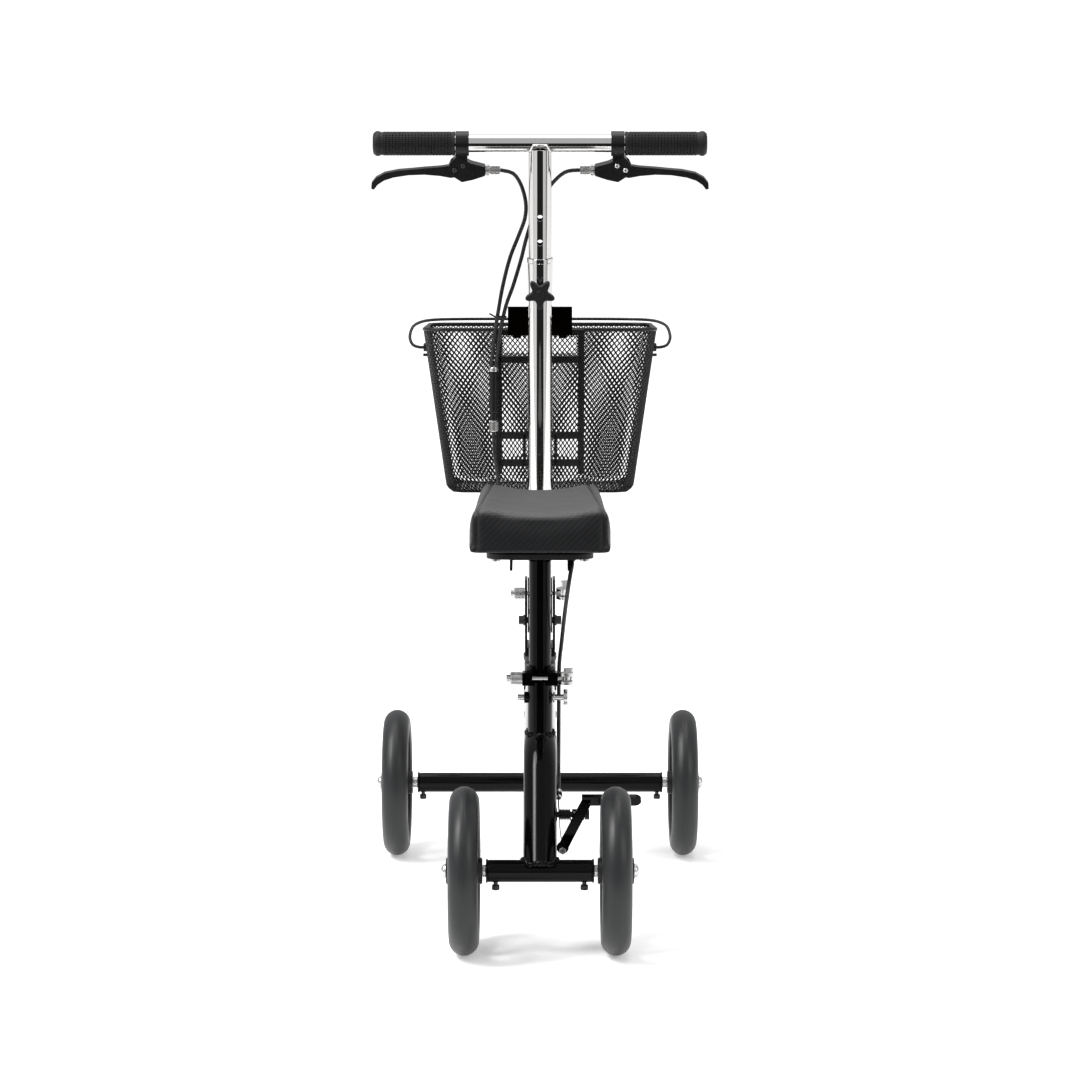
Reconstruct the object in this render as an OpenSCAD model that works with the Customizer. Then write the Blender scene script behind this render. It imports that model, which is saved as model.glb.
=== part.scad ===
// Knee scooter: four wheels, a folding steering column, a padded knee rest and a mesh basket.
// Millimetres. +Y is forwards, +X is the rider's right, +Z is up, and the wheels stand on Z = 0.

/* [Wheels] */
// Outside diameter of each wheel
wheel_d = 190; // [184:1:196]
// Width of each tyre
tyre_w = 34; // [30:1:36]
// Distance between the centres of the rear wheels
rear_track = 171; // [168:1:176]
// Distance between the centres of the front wheels
front_track = 374; // [360:1:390]

/* [Frame] */
// Distance from the rear axle to the front axle
wheelbase = 600; // [590:1:610]
// Outside diameter of the main tube
main_d = 38.1; // [36:0.1:39]
// Height of the level part of the main tube
main_z = 225; // [222:1:228]
// Rise of the rear part of the main tube, in degrees
main_slope = 53.8; // [52:0.2:56]
// Bend radius of the main tube
bend_r = 70; // [64:1:76]
// Outside diameter of both axle tubes
axle_d = 25.4; // [24:0.1:26]

/* [Steering] */
// Backward lean of the steering axis, in degrees
lean = 8; // [6:0.5:10]
// Outside diameter of the column tube
column_d = 31.8; // [31:0.1:32]
// Outside diameter of the sliding stem
stem_d = 28.6; // [28:0.1:29]
// Outside diameter of the handlebar
bar_d = 22.2; // [22:0.1:22.4]
// Width over the grips
bar_w = 418; // [400:2:430]
// Distance along the column from the front axle to the handlebar
bar_s = 836; // [826:1:846]

/* [Knee rest] */
// Width of the pad at its rear end
pad_w = 160; // [150:1:168]
// Width of the pad at its front end
pad_front_w = 150; // [142:1:158]
// Length of the pad
pad_l = 355; // [340:1:365]
// Outside diameter of the seat post
post_d = 25.4; // [25.2:0.1:25.5]

/* [Basket] */
// Width of the basket over its rim
basket_w = 304; // [296:1:312]
// Width of the basket at its floor
basket_floor_w = 240; // [230:1:250]
// Height of the basket's floor above the ground
basket_floor_z = 477; // [470:1:482]
// Height of the basket's rim above the ground
basket_rim_z = 690; // [684:1:694]

/* [Hidden] */
$fn = 64;
touch_gap = 0.3;
run_gap = 0.06;

wheel_r = wheel_d / 2;
rear_y = -350;
front_y = rear_y + wheelbase;
rear_x = rear_track / 2;
front_x = front_track / 2;
rear_tube_half = 61;
front_tube_half = 160;
boss_half = 20.5;
rim_r = 72;
bolt_r = 4;
bearing_r = 11;
bearing_w = 7;

main_r = main_d / 2;
head_r = 20.5;
main_wall = 2;
axle_r = axle_d / 2;
axle_wall = 2;
bend_set = bend_r * tan(main_slope / 2);
corner_y = rear_y + (main_z - wheel_r) / tan(main_slope);
ramp_l = (main_z - wheel_r) / sin(main_slope) - bend_set;
head_y = front_y - (main_z - wheel_r) * tan(lean);

seat_y = rear_y + 110;
post_r = post_d / 2;
seat_tube_r = 14.3;
seat_tube_z = [196, 303];
seat_pin_z = 277;
seat_pin_r = 3.5;
post_pitch = 20;
clamp_z = 302;
clamp_y = seat_y - 22;

head_s = [96, 168];
spindle_r = 11;
yoke_s = [176, 276];
fold_s = 219.6;
lock_s = 255.5;
yoke_in = column_d / 2 + 0.5;
yoke_out = yoke_in + 3.2;
yoke_half = 20;
lock_r = 2.5;
column_r = column_d / 2;
column_s = [fold_s - 16, 692];
stem_r = stem_d / 2;
stem_bottom_s = 498;
bar_r = bar_d / 2;
hole_pitch = 31;
knob_s = 651;
plate_s = [590, 627];

bar_y = front_y - bar_s * sin(lean);
bar_z = wheel_r + bar_s * cos(lean);
lever_tilt = 15;
lever_pivot = [107, -32];
lever_half = 5.5;
grip_x = 106;

board_z = 449;
pad_z = 455;
pad_y = rear_y - 27;
bracket_z = 433;

brake_y = rear_y + 95;
brake_z = 142.4;
brake_pin_r = 3.5;
stop_at = [21.8, rear_y + 145, 158];

basket_wall = 2;
basket_front_y = 442;
basket_floor_front_y = 396;
basket_back = 28;
rim_wire = 3;
mount_x = 52.6;
bail_wire = 2;
bail_y = 315;
bail_z = 662;
bail_x = 170;
bail_reach = 125;
bail_rise = 33.5;

cable_r = 2.5;
junction_at = [-59, 186, 583];
LEFT_CABLE = [[-50, 142, 890], [-34, 142, 886], [-24, 144, 872], [-18, 148, 850], [-19, 152, 830],
    [-27, 158, 808], [-38, 162, 780], [-47, 164, 745], [-53, 168, 712], [-58, 176, 680], [-62, 186, 641]];
RIGHT_CABLE = [[50, 142, 890], [36, 142, 889], [26, 147, 884], [14, 156, 872], [6, 163, 860],
    [-2, 166, 846], [-10, 165, 828], [-18, 162, 802], [-24, 160, 778], [-34, 162, 745], [-43, 166, 720],
    [-50, 172, 690], [-54, 180, 662], [-56, 186, 641]];
COLUMN_CABLE = [[-59, 186, 559], [-58, 188, 530], [-54, 194, 500], [-50, 196, 470]];
FRAME_CABLE = [[-49.9, 196, 469.3], [-48.4, 195.8, 459], [-40, 185, 438], [-20, 150, 420], [0, 90, 414],
    [22, 10, 417], [37.4, -66, 425], [37.2, -140, 436], [37.2, -205, 438.2], [37.2, -238, 438.2],
    [36.5, -255, 431], [33.5, -259, 414], [29, -249, 380], [25, -230, 340], [22.2, -220, 310],
    [21.8, -218, 263], [21.8, -213, 232], [21.8, -200, 207], [21.8, -188, 187], [21.8, -190, 170],
    [21.8, -204.6, 158.4]];

// Helpers

module on_column(s = 0) {
    translate([0, front_y, wheel_r]) rotate([lean, 0, 0]) translate([0, 0, s]) children();
}

module both_sides() {
    children();
    mirror([1, 0, 0]) children();
}

// A cylinder along X from x0 to x1
module x_rod(r, x0, x1) {
    translate([x0, 0, 0]) rotate([0, 90, 0]) cylinder(r = r, h = x1 - x0);
}

// A cylinder along Y from y0 to y1
module y_rod(r, y0, y1) {
    translate([0, y0, 0]) rotate([-90, 0, 0]) cylinder(r = r, h = y1 - y0);
}

module pipe(r, inner, h) {
    difference() {
        cylinder(r = r, h = h);
        translate([0, 0, -1]) cylinder(r = inner, h = h + 2);
    }
}

module block(x, y, z) {
    translate([x[0], y[0], z[0]]) cube([x[1] - x[0], y[1] - y[0], z[1] - z[0]]);
}

// A plate that stands in the Y-Z plane, cut from a flat outline of [y, z] points
module side_plate(x0, x1) {
    translate([x0, 0, 0]) rotate([90, 0, 90]) linear_extrude(height = x1 - x0) children();
}

module rounded_rect(w, l, r) {
    square([w, l - 2 * r], center = true);
    square([w - 2 * r, l], center = true);
    for (x = [-1, 1], y = [-1, 1]) translate([x * (w / 2 - r), y * (l / 2 - r)]) circle(r = r);
}

// Cable routes: a smooth curve through the listed points, swept as an eight-sided tube

function unit(v) = v / norm(v);
function curve_at(a, b, c, d, t) = 0.5 * (2 * b + (c - a) * t + (2 * a - 5 * b + 4 * c - d) * t * t
    + (3 * b - a - 3 * c + d) * t * t * t);
function curve(p, step) = let (n = len(p) - 1) concat(
    [for (i = [0:n - 1]) let (k = max(1, round(norm(p[i + 1] - p[i]) / step))) for (j = [0:k - 1])
        curve_at(p[max(i - 1, 0)], p[i], p[i + 1], p[min(i + 2, n)], j / k)], [p[n]]);
function tangents(p) = let (n = len(p) - 1) [for (i = [0:n]) unit(p[min(i + 1, n)] - p[max(i - 1, 0)])];
function across(v, t) = unit(v - (v * t) * t);
function normals(t) = [for (i = 0, v = across([1, 0.4, 0.2], t[0]); i < len(t);
    i = i + 1, v = i < len(t) ? across(v, t[i]) : v) v];

module swept(path, r) {
    sides = 8;
    t = tangents(path);
    n = normals(t);
    last = len(path) - 1;
    rings = [for (i = [0:last]) for (k = [0:sides - 1]) path[i]
        + r * (cos(k * 360 / sides) * n[i] + sin(k * 360 / sides) * cross(t[i], n[i]))];
    walls = [for (i = [0:last - 1]) for (k = [0:sides - 1])
        let (a = i * sides + k, b = i * sides + (k + 1) % sides)
        each [[a, a + sides, b], [b, a + sides, b + sides]]];
    ends = [[for (k = [0:sides - 1]) k], [for (k = [sides - 1:-1:0]) last * sides + k]];
    polyhedron(points = rings, faces = concat(walls, ends));
}

module cable(route) { swept(curve(route, 14), cable_r); }

// Points round an arc in the X-Y plane, from angle a to angle b
function arc(centre, r, a, b, n) =
    [for (i = [0:n]) let (t = a + (b - a) * i / n) [centre[0] + r * cos(t), centre[1] + r * sin(t), 0]];

// Frame

// The main tube's run: a ramp from the rear axle, a bend, and a level stretch to the head tube
module main_path(r, inner) {
    translate([0, rear_y, wheel_r]) rotate([main_slope - 90, 0, 0]) pipe(r, inner, ramp_l);
    translate([0, corner_y + bend_set, main_z - bend_r]) rotate([90, 0, 90]) rotate([0, 0, 90])
        rotate_extrude(angle = main_slope) translate([bend_r, 0]) difference() {
            circle(r = r);
            circle(r = inner);
        }
    translate([0, corner_y + bend_set, main_z]) rotate([-90, 0, 0])
        pipe(r, inner, head_y - corner_y - bend_set);
}

module main_tube() {
    color("black") difference() {
        main_path(main_r, main_r - main_wall);
        translate([0, rear_y, wheel_r]) x_rod(axle_r, -main_r - 5, main_r + 5);
        on_column(head_s[0] - 10) cylinder(r = head_r, h = head_s[1] - head_s[0] + 20);
        translate([0, seat_y, seat_tube_z[0] - 10]) cylinder(r = seat_tube_r, h = 120);
    }
}

module seat_tube() {
    color("black") difference() {
        union() {
            translate([0, seat_y, seat_tube_z[0]])
                cylinder(r = seat_tube_r, h = seat_tube_z[1] - seat_tube_z[0]);
            translate([0, seat_y, seat_pin_z]) x_rod(6.5, -18.5, 0);
        }
        translate([0, seat_y, seat_tube_z[0] - 1]) cylinder(r = post_r + run_gap, h = 120);
        translate([0, seat_y, seat_pin_z]) x_rod(seat_pin_r + run_gap, -30, 30);
        block([-1.5, 1.5], [seat_y - 20, seat_y], [281, 310]);
        translate([0, seat_y, 281]) y_rod(3, -20, 0);
    }
}

module axle_tube(half, screw_x) {
    difference() {
        x_rod(axle_r, -half, half);
        x_rod(axle_r - axle_wall, -half - 1, half + 1);
        for (x = [-screw_x, screw_x]) translate([x, 0, -axle_r - 1]) cylinder(r = 2.5, h = 8);
    }
}

module rear_axle_tube() {
    color("black") translate([0, rear_y, wheel_r]) axle_tube(rear_tube_half - 3, 50);
}

module head_tube() {
    color("black") on_column(head_s[0]) pipe(head_r, 17, head_s[1] - head_s[0]);
}

module headset_bearings() {
    color("dimgray") on_column() for (end = [0, 1])
        translate([0, 0, head_s[end]]) mirror([0, 0, 1 - end]) difference() {
            union() {
                cylinder(r = 21.5, h = 7);
                translate([0, 0, -9]) cylinder(r = 17, h = 10);
            }
            translate([0, 0, -10]) cylinder(r = spindle_r + run_gap, h = 20);
        }
}

// The turned plugs that close an axle tube and take the wheel bolts
module axle_plugs(half, screw_x) {
    both_sides() difference() {
        union() {
            x_rod(axle_r - axle_wall, half - 26, half);
            x_rod(axle_r + 1.4, half, half + 3);
        }
        x_rod(bolt_r, half - 30, half + 10);
        translate([screw_x, 0, -axle_r]) cylinder(r = 2.5, h = axle_r);
    }
}

module axle_screws(screw_x) {
    both_sides() translate([screw_x, 0, 0]) {
        translate([0, 0, -axle_r - 3]) cylinder(r = 2.5, h = axle_r + 3 - bolt_r);
        translate([0, 0, -axle_r - 9]) difference() {
            cylinder(r = 4.3, h = 6);
            translate([0, 0, -1]) cylinder(r = 2.3, h = 4, $fn = 6);
        }
    }
}

// A bolt along +X with a washer and a domed head, from its tip at x0 to the washer at x1
module domed_bolt(x0, x1) {
    washer = 0.8;
    head = [7.6, 4.8];
    ball = (head[0] * head[0] + head[1] * head[1]) / (2 * head[1]);
    rotate([0, 90, 0]) rotate_extrude() {
        translate([0, x0]) square([bolt_r, x1 - x0 + washer]);
        translate([0, x1]) square([8.4, washer]);
        translate([0, x1 + washer]) intersection() {
            translate([0, head[1] - ball]) circle(r = ball);
            square([head[0] + 2, head[1] + 1]);
        }
    }
}

// A wheel bolt, and the spacer inboard of its wheel
module axle_bolts(half, wheel_x) {
    both_sides() {
        domed_bolt(half - 24, wheel_x + boss_half + 0.4);
        translate([half + 3, 0, 0]) rotate([0, 90, 0])
            pipe(7, bolt_r + run_gap, wheel_x - boss_half - touch_gap - half - 3);
    }
}

module rear_axle_plugs() {
    color("black") translate([0, rear_y, wheel_r]) axle_plugs(rear_tube_half - 3, 50);
}
module rear_axle_screws() { color("dimgray") translate([0, rear_y, wheel_r]) axle_screws(50); }
module rear_axle_bolts() {
    color("silver") translate([0, rear_y, wheel_r]) axle_bolts(rear_tube_half - 3, rear_x);
}

module seat_clamp_collar() {
    color("black") difference() {
        union() {
            translate([0, seat_y, 292]) cylinder(r = 18, h = 22.5);
            both_sides() block([9, 20.5], [clamp_y - 8, seat_y - 10], [294.5, 309.5]);
        }
        translate([0, seat_y, 290]) cylinder(r = seat_tube_r, h = seat_tube_z[1] - 290);
        translate([0, seat_y, 290]) cylinder(r = post_r + touch_gap, h = 40);
        block([-9, 9], [clamp_y - 20, seat_y - 12], [280, 330]);
        translate([0, clamp_y, clamp_z]) x_rod(2.6, -30, 30);
    }
}

// A draw rod with a nut on its left end and, on its right end, an eye for a cam lever
module draw_rod(nut_x, eye_x) {
    x_rod(2.5, -nut_x - 13, eye_x - 3);
    difference() {
        x_rod(7, -nut_x - 13.5, -nut_x);
        x_rod(2.5, -nut_x - 20, 0);
    }
    x_rod(4.2, -nut_x - 18, -nut_x - 13.5);
    translate([eye_x, 0, -2]) cylinder(r = 4.5, h = 4);
    translate([eye_x, 0, -6.5]) cylinder(r = 1.8, h = 13);
}

// The lever that turns on the draw rod's eye: two cam cheeks and a blade that points forwards
module cam_lever(eye_x, blade_l) {
    difference() {
        union() {
            translate([eye_x, 0, -7]) cylinder(r = 8.6, h = 14);
            block([eye_x - 0.5, eye_x + 6.5], [5, blade_l - 6], [-5.5, 5.5]);
            translate([eye_x + 3, blade_l - 6, -5.5]) cylinder(r = 6, h = 11);
        }
        translate([eye_x, 0, -2.8]) cylinder(r = 20, h = 5.6);
        translate([eye_x, 0, -8]) cylinder(r = 1.8 + run_gap, h = 16);
    }
    difference() {
        block([eye_x - 0.5, eye_x + 6.5], [8.6, blade_l - 6], [-3, 3]);
        translate([eye_x, 0, -4]) cylinder(r = 10, h = 8);
    }
}

module seat_clamp_skewer() {
    color("silver") {
        translate([0, clamp_y, clamp_z]) draw_rod(20.6, 30);
        translate([0, seat_y, seat_pin_z]) x_rod(seat_pin_r, -26, -post_r - 0.4);
    }
}
module seat_clamp_lever() { color("silver") translate([0, clamp_y, clamp_z]) cam_lever(30, 52); }

module seat_pin() {
    color("silver") translate([0, seat_y, seat_pin_z]) {
        x_rod(seat_pin_r, post_r + 0.4, 27);
        x_rod(9.5, 27, 32);
        x_rod(6, seat_tube_r + 0.6, 17);
    }
}

module brake_bracket() {
    color("black") difference() {
        union() {
            side_plate(15, 19) polygon([[brake_y - 9, brake_z - 7], [brake_y + 4, brake_z - 9],
                [stop_at[1] + 8, 146], [stop_at[1] + 10, 170], [stop_at[1] - 4, 208],
                [brake_y + 10, 208], [brake_y - 9, 172]]);
            translate([0, brake_y, brake_z]) x_rod(8, 15, 20);
            translate(stop_at) rotate([-55, 0, 0]) translate([0, 0, -5]) cylinder(r = 4.5, h = 5);
        }
        main_path(main_r, main_r - main_wall);
        translate([0, brake_y, brake_z]) x_rod(brake_pin_r, 10, 30);
        translate(stop_at) rotate([-55, 0, 0]) translate([0, 0, -12]) cylinder(r = 1.2, h = 20);
    }
}

module brake_pivot_bolt() {
    color("silver") translate([0, brake_y, brake_z]) {
        x_rod(brake_pin_r, 12, 52);
        x_rod(6, 51.5, 57);
    }
}

// The arm swings about the pivot bolt and presses its cross bar on the right rear tyre
module brake_arm() {
    bar_y0 = rear_y + 80;
    bar_z0 = 162;
    color("black") {
        difference() {
            union() {
                translate([0, brake_y, brake_z]) x_rod(6.5, 37, 51);
                block([38, 46], [bar_y0 - 2, brake_y], [brake_z - 5, brake_z + 5]);
                translate([40, bar_y0 - 4, 134]) rotate([0, 27.3, 0])
                    translate([-6, 0, -32]) cube([12, 4, 60]);
                translate([26, bar_y0 - 4, 107]) y_rod(7, 0, 4);
                translate([48, bar_y0, bar_z0]) rotate([40, 0, 0])
                    translate([0, -2.5, -7.5]) cube([61, 5, 15]);
                translate([109, bar_y0, bar_z0]) rotate([40, 0, 0]) y_rod(7.5, -2.5, 2.5);
            }
            translate([0, brake_y, brake_z]) x_rod(brake_pin_r + run_gap, 30, 60);
        }
        translate([26, bar_y0, 107]) y_rod(4.2, -9, -4);
    }
}

module brake_spring() {
    color("silver") translate([0, brake_y, brake_z]) difference() {
        x_rod(6.4, 21, 36);
        x_rod(5, 20, 37);
    }
}

module frame_cable() { color("black") cable(FRAME_CABLE); }

// Wheels

module tyre() {
    color("#3a3b40") rotate([0, 90, 0]) rotate_extrude($fn = 128) intersection() {
        translate([wheel_r - tyre_w / 2, 0]) circle(r = tyre_w / 2);
        translate([rim_r, -tyre_w]) square([40, 2 * tyre_w]);
    }
}

module hub() {
    color("#202124") difference() {
        union() {
            x_rod(15, -boss_half, boss_half);
            rotate([0, 90, 0]) rotate_extrude($fn = 128) {
                translate([rim_r - 6, -12]) square([6, 24]);
                translate([rim_r - 12, -2]) square([8, 4]);
            }
            side_plate(-7, 7) for (k = [0:4]) rotate(k * 72 + 18)
                polygon([[10, -8], [rim_r - 4, -6], [rim_r - 4, 6], [10, 8]]);
        }
        x_rod(8, -boss_half - 1, boss_half + 1);
        both_sides() x_rod(bearing_r, boss_half - bearing_w, boss_half + 1);
    }
}

module bearings() {
    color("silver") both_sides() difference() {
        x_rod(bearing_r, boss_half - bearing_w, boss_half);
        x_rod(bolt_r + run_gap, 0, boss_half + 1);
    }
}

module at_wheel(x, y) { translate([x, y, wheel_r]) children(); }

// Knee rest

module seat_post() {
    color("black") translate([0, seat_y, 0]) difference() {
        translate([0, 0, 226]) cylinder(r = post_r, h = board_z - 4 - 226);
        translate([0, 0, 220]) cylinder(r = post_r - 2.2, h = board_z);
        for (k = [-1:6]) translate([0, 0, seat_pin_z + k * post_pitch]) x_rod(3.6, -20, 20);
    }
}

module seat_bracket() {
    color("black") difference() {
        union() {
            block([-34, 34], [seat_y - 88, seat_y + 150], [bracket_z, board_z]);
            translate([37.2, seat_y + 14, 438.2]) y_rod(5, -3, 0);
        }
        block([-31, 31], [seat_y - 100, seat_y + 160], [bracket_z - 2, board_z - 4]);
        translate([37.2, seat_y + 14, 438.2]) y_rod(3, -9, 9);
    }
}

module pad_board() {
    color("#1b1b1d") difference() {
        translate([0, pad_y + pad_l / 2, board_z]) linear_extrude(height = pad_z - board_z)
            rounded_rect(pad_front_w - 30, pad_l - 26, 24);
        pad_bolt_places() cylinder(r = 2.5, h = 20);
    }
}

module pad_bolt_places() {
    for (x = [-50, 50], y = [pad_y + 42, pad_y + pad_l - 60]) translate([x, y, board_z - 5]) children();
}

module pad_bolts() {
    color("silver") pad_bolt_places() {
        translate([0, 0, 1]) cylinder(r = 5.5, h = 4);
        cylinder(r = 2.5, h = pad_z - board_z + 5);
    }
}

module pad_slab(w, y, z0, z1) {
    translate([-w / 2, y, z0]) cube([w, 2, z1 - z0]);
}

module knee_pad() {
    scoop_r = 216;
    end = pad_y + pad_l;
    color("#34353a") difference() {
        hull() {
            pad_slab(pad_w - 16, pad_y + 4, pad_z, 505);
            pad_slab(pad_w, pad_y + 8, 464, 500);
            pad_slab(pad_w - 26, pad_y + 16, pad_z, 513);
            pad_slab(pad_front_w - 16, end - 6, pad_z, 508);
            pad_slab(pad_front_w, end - 12, 464, 502);
            pad_slab(pad_front_w - 16, end - 20, pad_z, 514);
        }
        translate([0, 0, 502 + scoop_r]) y_rod(scoop_r, pad_y - 10, end + 10, $fn = 160);
    }
}

// Steering

module front_axle_tube() {
    color("black") translate([0, front_y, wheel_r]) axle_tube(front_tube_half - 3, 153);
}
module front_axle_plugs() {
    color("black") translate([0, front_y, wheel_r]) axle_plugs(front_tube_half - 3, 153);
}
module front_axle_screws() { color("dimgray") translate([0, front_y, wheel_r]) axle_screws(153); }
module front_axle_bolts() {
    color("silver") translate([0, front_y, wheel_r]) axle_bolts(front_tube_half - 3, front_x);
}

module steering_spindle() {
    color("black") difference() {
        on_column() {
            cylinder(r = column_r, h = head_s[0] - 7 - touch_gap);
            cylinder(r = spindle_r, h = yoke_s[0] + 11);
        }
        translate([0, front_y, wheel_r]) x_rod(axle_r, -30, 30);
        on_column(40) cylinder(r = 7, h = 200);
    }
}

module fold_yoke() {
    arc_r = lock_s - fold_s;
    color("black") on_column() difference() {
        union() {
            difference() {
                block([-yoke_out, yoke_out], [-yoke_half, yoke_half], [yoke_s[0], yoke_s[0] + 12]);
                cylinder(r = spindle_r, h = 400);
            }
            both_sides() side_plate(yoke_in, yoke_out) difference() {
                union() {
                    translate([-yoke_half, yoke_s[0]]) square([2 * yoke_half, yoke_s[1] - yoke_s[0] - 12]);
                    translate([-yoke_half + 12, yoke_s[0]])
                        square([2 * yoke_half - 24, yoke_s[1] - yoke_s[0]]);
                    for (y = [-1, 1]) translate([y * (yoke_half - 12), yoke_s[1] - 12]) circle(r = 12);
                }
                translate([0, fold_s]) {
                    intersection() {
                        difference() {
                            circle(r = arc_r + 3.2);
                            circle(r = arc_r - 3.2);
                        }
                        translate([-50, 0]) square([50, 50]);
                    }
                    translate([0, arc_r]) circle(r = 3.2);
                }
            }
        }
        translate([0, 0, fold_s]) x_rod(bolt_r, -40, 40);
    }
}

module fold_bolt() {
    color("dimgray") on_column(fold_s) {
        x_rod(bolt_r, -yoke_out - 1, yoke_out + 1);
        both_sides() {
            x_rod(7, yoke_out, yoke_out + 2);
            x_rod(6, yoke_out + 2, yoke_out + 8, $fn = 6);
        }
    }
}

module column_tube() {
    color("silver") on_column() difference() {
        union() {
            translate([0, 0, column_s[0]]) cylinder(r = column_r, h = column_s[1] - column_s[0]);
            translate([0, 0, column_s[1] - 6]) cylinder(r = column_r + 0.7, h = 6);
            translate([0, 0, knob_s]) y_rod(8, -22, 0);
        }
        translate([0, 0, column_s[0] - 1]) cylinder(r = stem_r + run_gap, h = 600);
        translate([0, 0, fold_s]) x_rod(bolt_r + run_gap, -30, 30);
        translate([0, 0, lock_s]) x_rod(lock_r, -30, 30);
        translate([0, 0, knob_s]) y_rod(bolt_r + run_gap, -30, 0);
    }
}

module fold_skewer() { color("silver") on_column(lock_s) draw_rod(yoke_out + touch_gap, 29.5); }
module fold_lever() { color("silver") on_column(lock_s) cam_lever(29.5, 48); }

// The plate on the column's front, with two lips that hold the basket's top bar
module hook_plate() {
    front = column_r + 3;
    color("#2a1a14") on_column() {
        block([-41, 41], [column_r, front], plate_s);
        both_sides() {
            block([24, 34], [front - 1, front + 7.6], [plate_s[0] - 4, plate_s[0] - 1]);
            block([24, 34], [front - 1, front], [plate_s[0] - 4, plate_s[0] + 2]);
            block([24, 34], [front + 4.6, front + 7.6], [plate_s[0] - 4, plate_s[0] + 8]);
        }
    }
}

module cable_junction() {
    color("#111111") translate(junction_at) difference() {
        union() {
            cylinder(r = 5.8, h = 58);
            translate([0, 0, -10]) cylinder(r = 4.6, h = 10);
            translate([0, 0, -24]) cylinder(r = 5.6, h = 14);
        }
        translate([0, 0, 54]) both_sides() translate([3, 0, 0]) cylinder(r = cable_r, h = 5);
    }
}

module column_cable() { color("black") cable(COLUMN_CABLE); }

module star_knob() {
    color("#141414") on_column(knob_s) difference() {
        union() {
            y_rod(bolt_r, -26, -stem_r - 0.4);
            y_rod(8, -27, -22.4);
            translate([0, -27, 0]) rotate([90, 0, 0]) linear_extrude(height = 12) {
                circle(r = 10);
                for (k = [0:4]) rotate(k * 72 - 90) {
                    polygon([[5, -8], [15, -4.4], [15, 4.4], [5, 8]]);
                    translate([15.4, 0]) circle(r = 4.4);
                }
            }
        }
        y_rod(5.5, -41, -37.5);
    }
}

// Handlebar

module stem_tube() {
    color("silver") difference() {
        on_column() translate([0, 0, stem_bottom_s]) cylinder(r = stem_r, h = bar_s - stem_bottom_s);
        on_column() translate([0, 0, stem_bottom_s - 1]) cylinder(r = stem_r - 2, h = 400);
        translate([0, bar_y, bar_z]) x_rod(bar_r, -30, 30);
        for (k = [-3:3]) on_column(knob_s + k * hole_pitch) y_rod(4, -20, 20);
    }
}

module handlebar() {
    color("silver") translate([0, bar_y, bar_z]) difference() {
        x_rod(bar_r, 6 - bar_w / 2, bar_w / 2 - 6);
        x_rod(bar_r - 2, -bar_w, bar_w);
    }
}

module grip() {
    color("#1c1c1e") translate([0, bar_y, bar_z]) difference() {
        union() {
            x_rod(15, grip_x, bar_w / 2 - 9);
            x_rod(15.6, bar_w / 2 - 9, bar_w / 2 - 3);
            x_rod(14, bar_w / 2 - 3, bar_w / 2);
        }
        x_rod(bar_r, 0, bar_w / 2 - 6);
    }
}
module left_grip() { mirror([1, 0, 0]) grip(); }
module right_grip() { grip(); }

// The lever side of the bar: x runs outboard and z runs up in the plane that the lever swings in
module at_lever() {
    translate([0, bar_y, bar_z]) rotate([lever_tilt, 0, 0]) children();
}

module xz_plate(half) {
    rotate([90, 0, 0]) translate([0, 0, -half]) linear_extrude(height = 2 * half) children();
}

module lever_housings() {
    color("#111111") at_lever() both_sides() difference() {
        union() {
            x_rod(15.5, 89, 105.6);
            xz_plate(9) polygon([[69, -28], [86, -23.5], [91, -21], [91, -10], [104.5, -10], [105.3, -15.7], [112, -22],
                [115.5, -30], [111, -39], [98, -47.5], [84, -44.5], [69, -39.5]]);
        }
        x_rod(bar_r, 80, 110);
        xz_plate(lever_half + touch_gap) polygon([[88, -60], [88, -26], [100, -19], [125, -19], [125, -60]]);
        translate([lever_pivot[0], 0, lever_pivot[1]]) y_rod(2.5, -12, 12);
        translate([60, 0, -34]) x_rod(2.5, 0, 40);
    }
}

// Pivot pins, clamp screws and barrel adjusters
module lever_fittings() {
    color("silver") at_lever() both_sides() {
        translate([lever_pivot[0], 0, lever_pivot[1]]) y_rod(2.5, -10, 10);
        translate([0, 0, -34]) {
            x_rod(2.4, 56, 80);
            difference() {
                union() {
                    x_rod(6.6, 63, 69);
                    x_rod(5, 50, 63);
                }
                x_rod(2.4, 40, 70);
            }
        }
    }
}

module lever() {
    color("#151515") at_lever() difference() {
        xz_plate(lever_half) polygon([[97, -28], [101, -25], [112, -27], [125, -29], [145, -30.5],
            [160, -32], [178, -33.5], [195, -37], [206, -43], [211.5, -50], [212, -57], [208.5, -58],
            [204, -52], [196, -46.5], [184, -42.5], [165, -39.5], [145, -38.8], [125, -40.5], [112, -43],
            [100, -41]]);
        translate([lever_pivot[0], 0, lever_pivot[1]]) y_rod(2.5 + run_gap, -12, 12);
    }
}
module left_lever() { mirror([1, 0, 0]) lever(); }
module right_lever() { lever(); }

module brake_cables() {
    color("black") {
        cable(LEFT_CABLE);
        cable(RIGHT_CABLE);
    }
}

// Basket

// A level slice of the basket's outline, from its sloping back wall to its front
module basket_slice(z, w, front, inset, h) {
    back = front_y - (z - wheel_r) * tan(lean) + basket_back / cos(lean) + inset;
    r = 28 - inset;
    for (x = [-1, 1], y = [back + r, front - inset - r])
        translate([x * (w / 2 - inset - r), y, z]) cylinder(r = r, h = h, $fn = 32);
}

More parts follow.
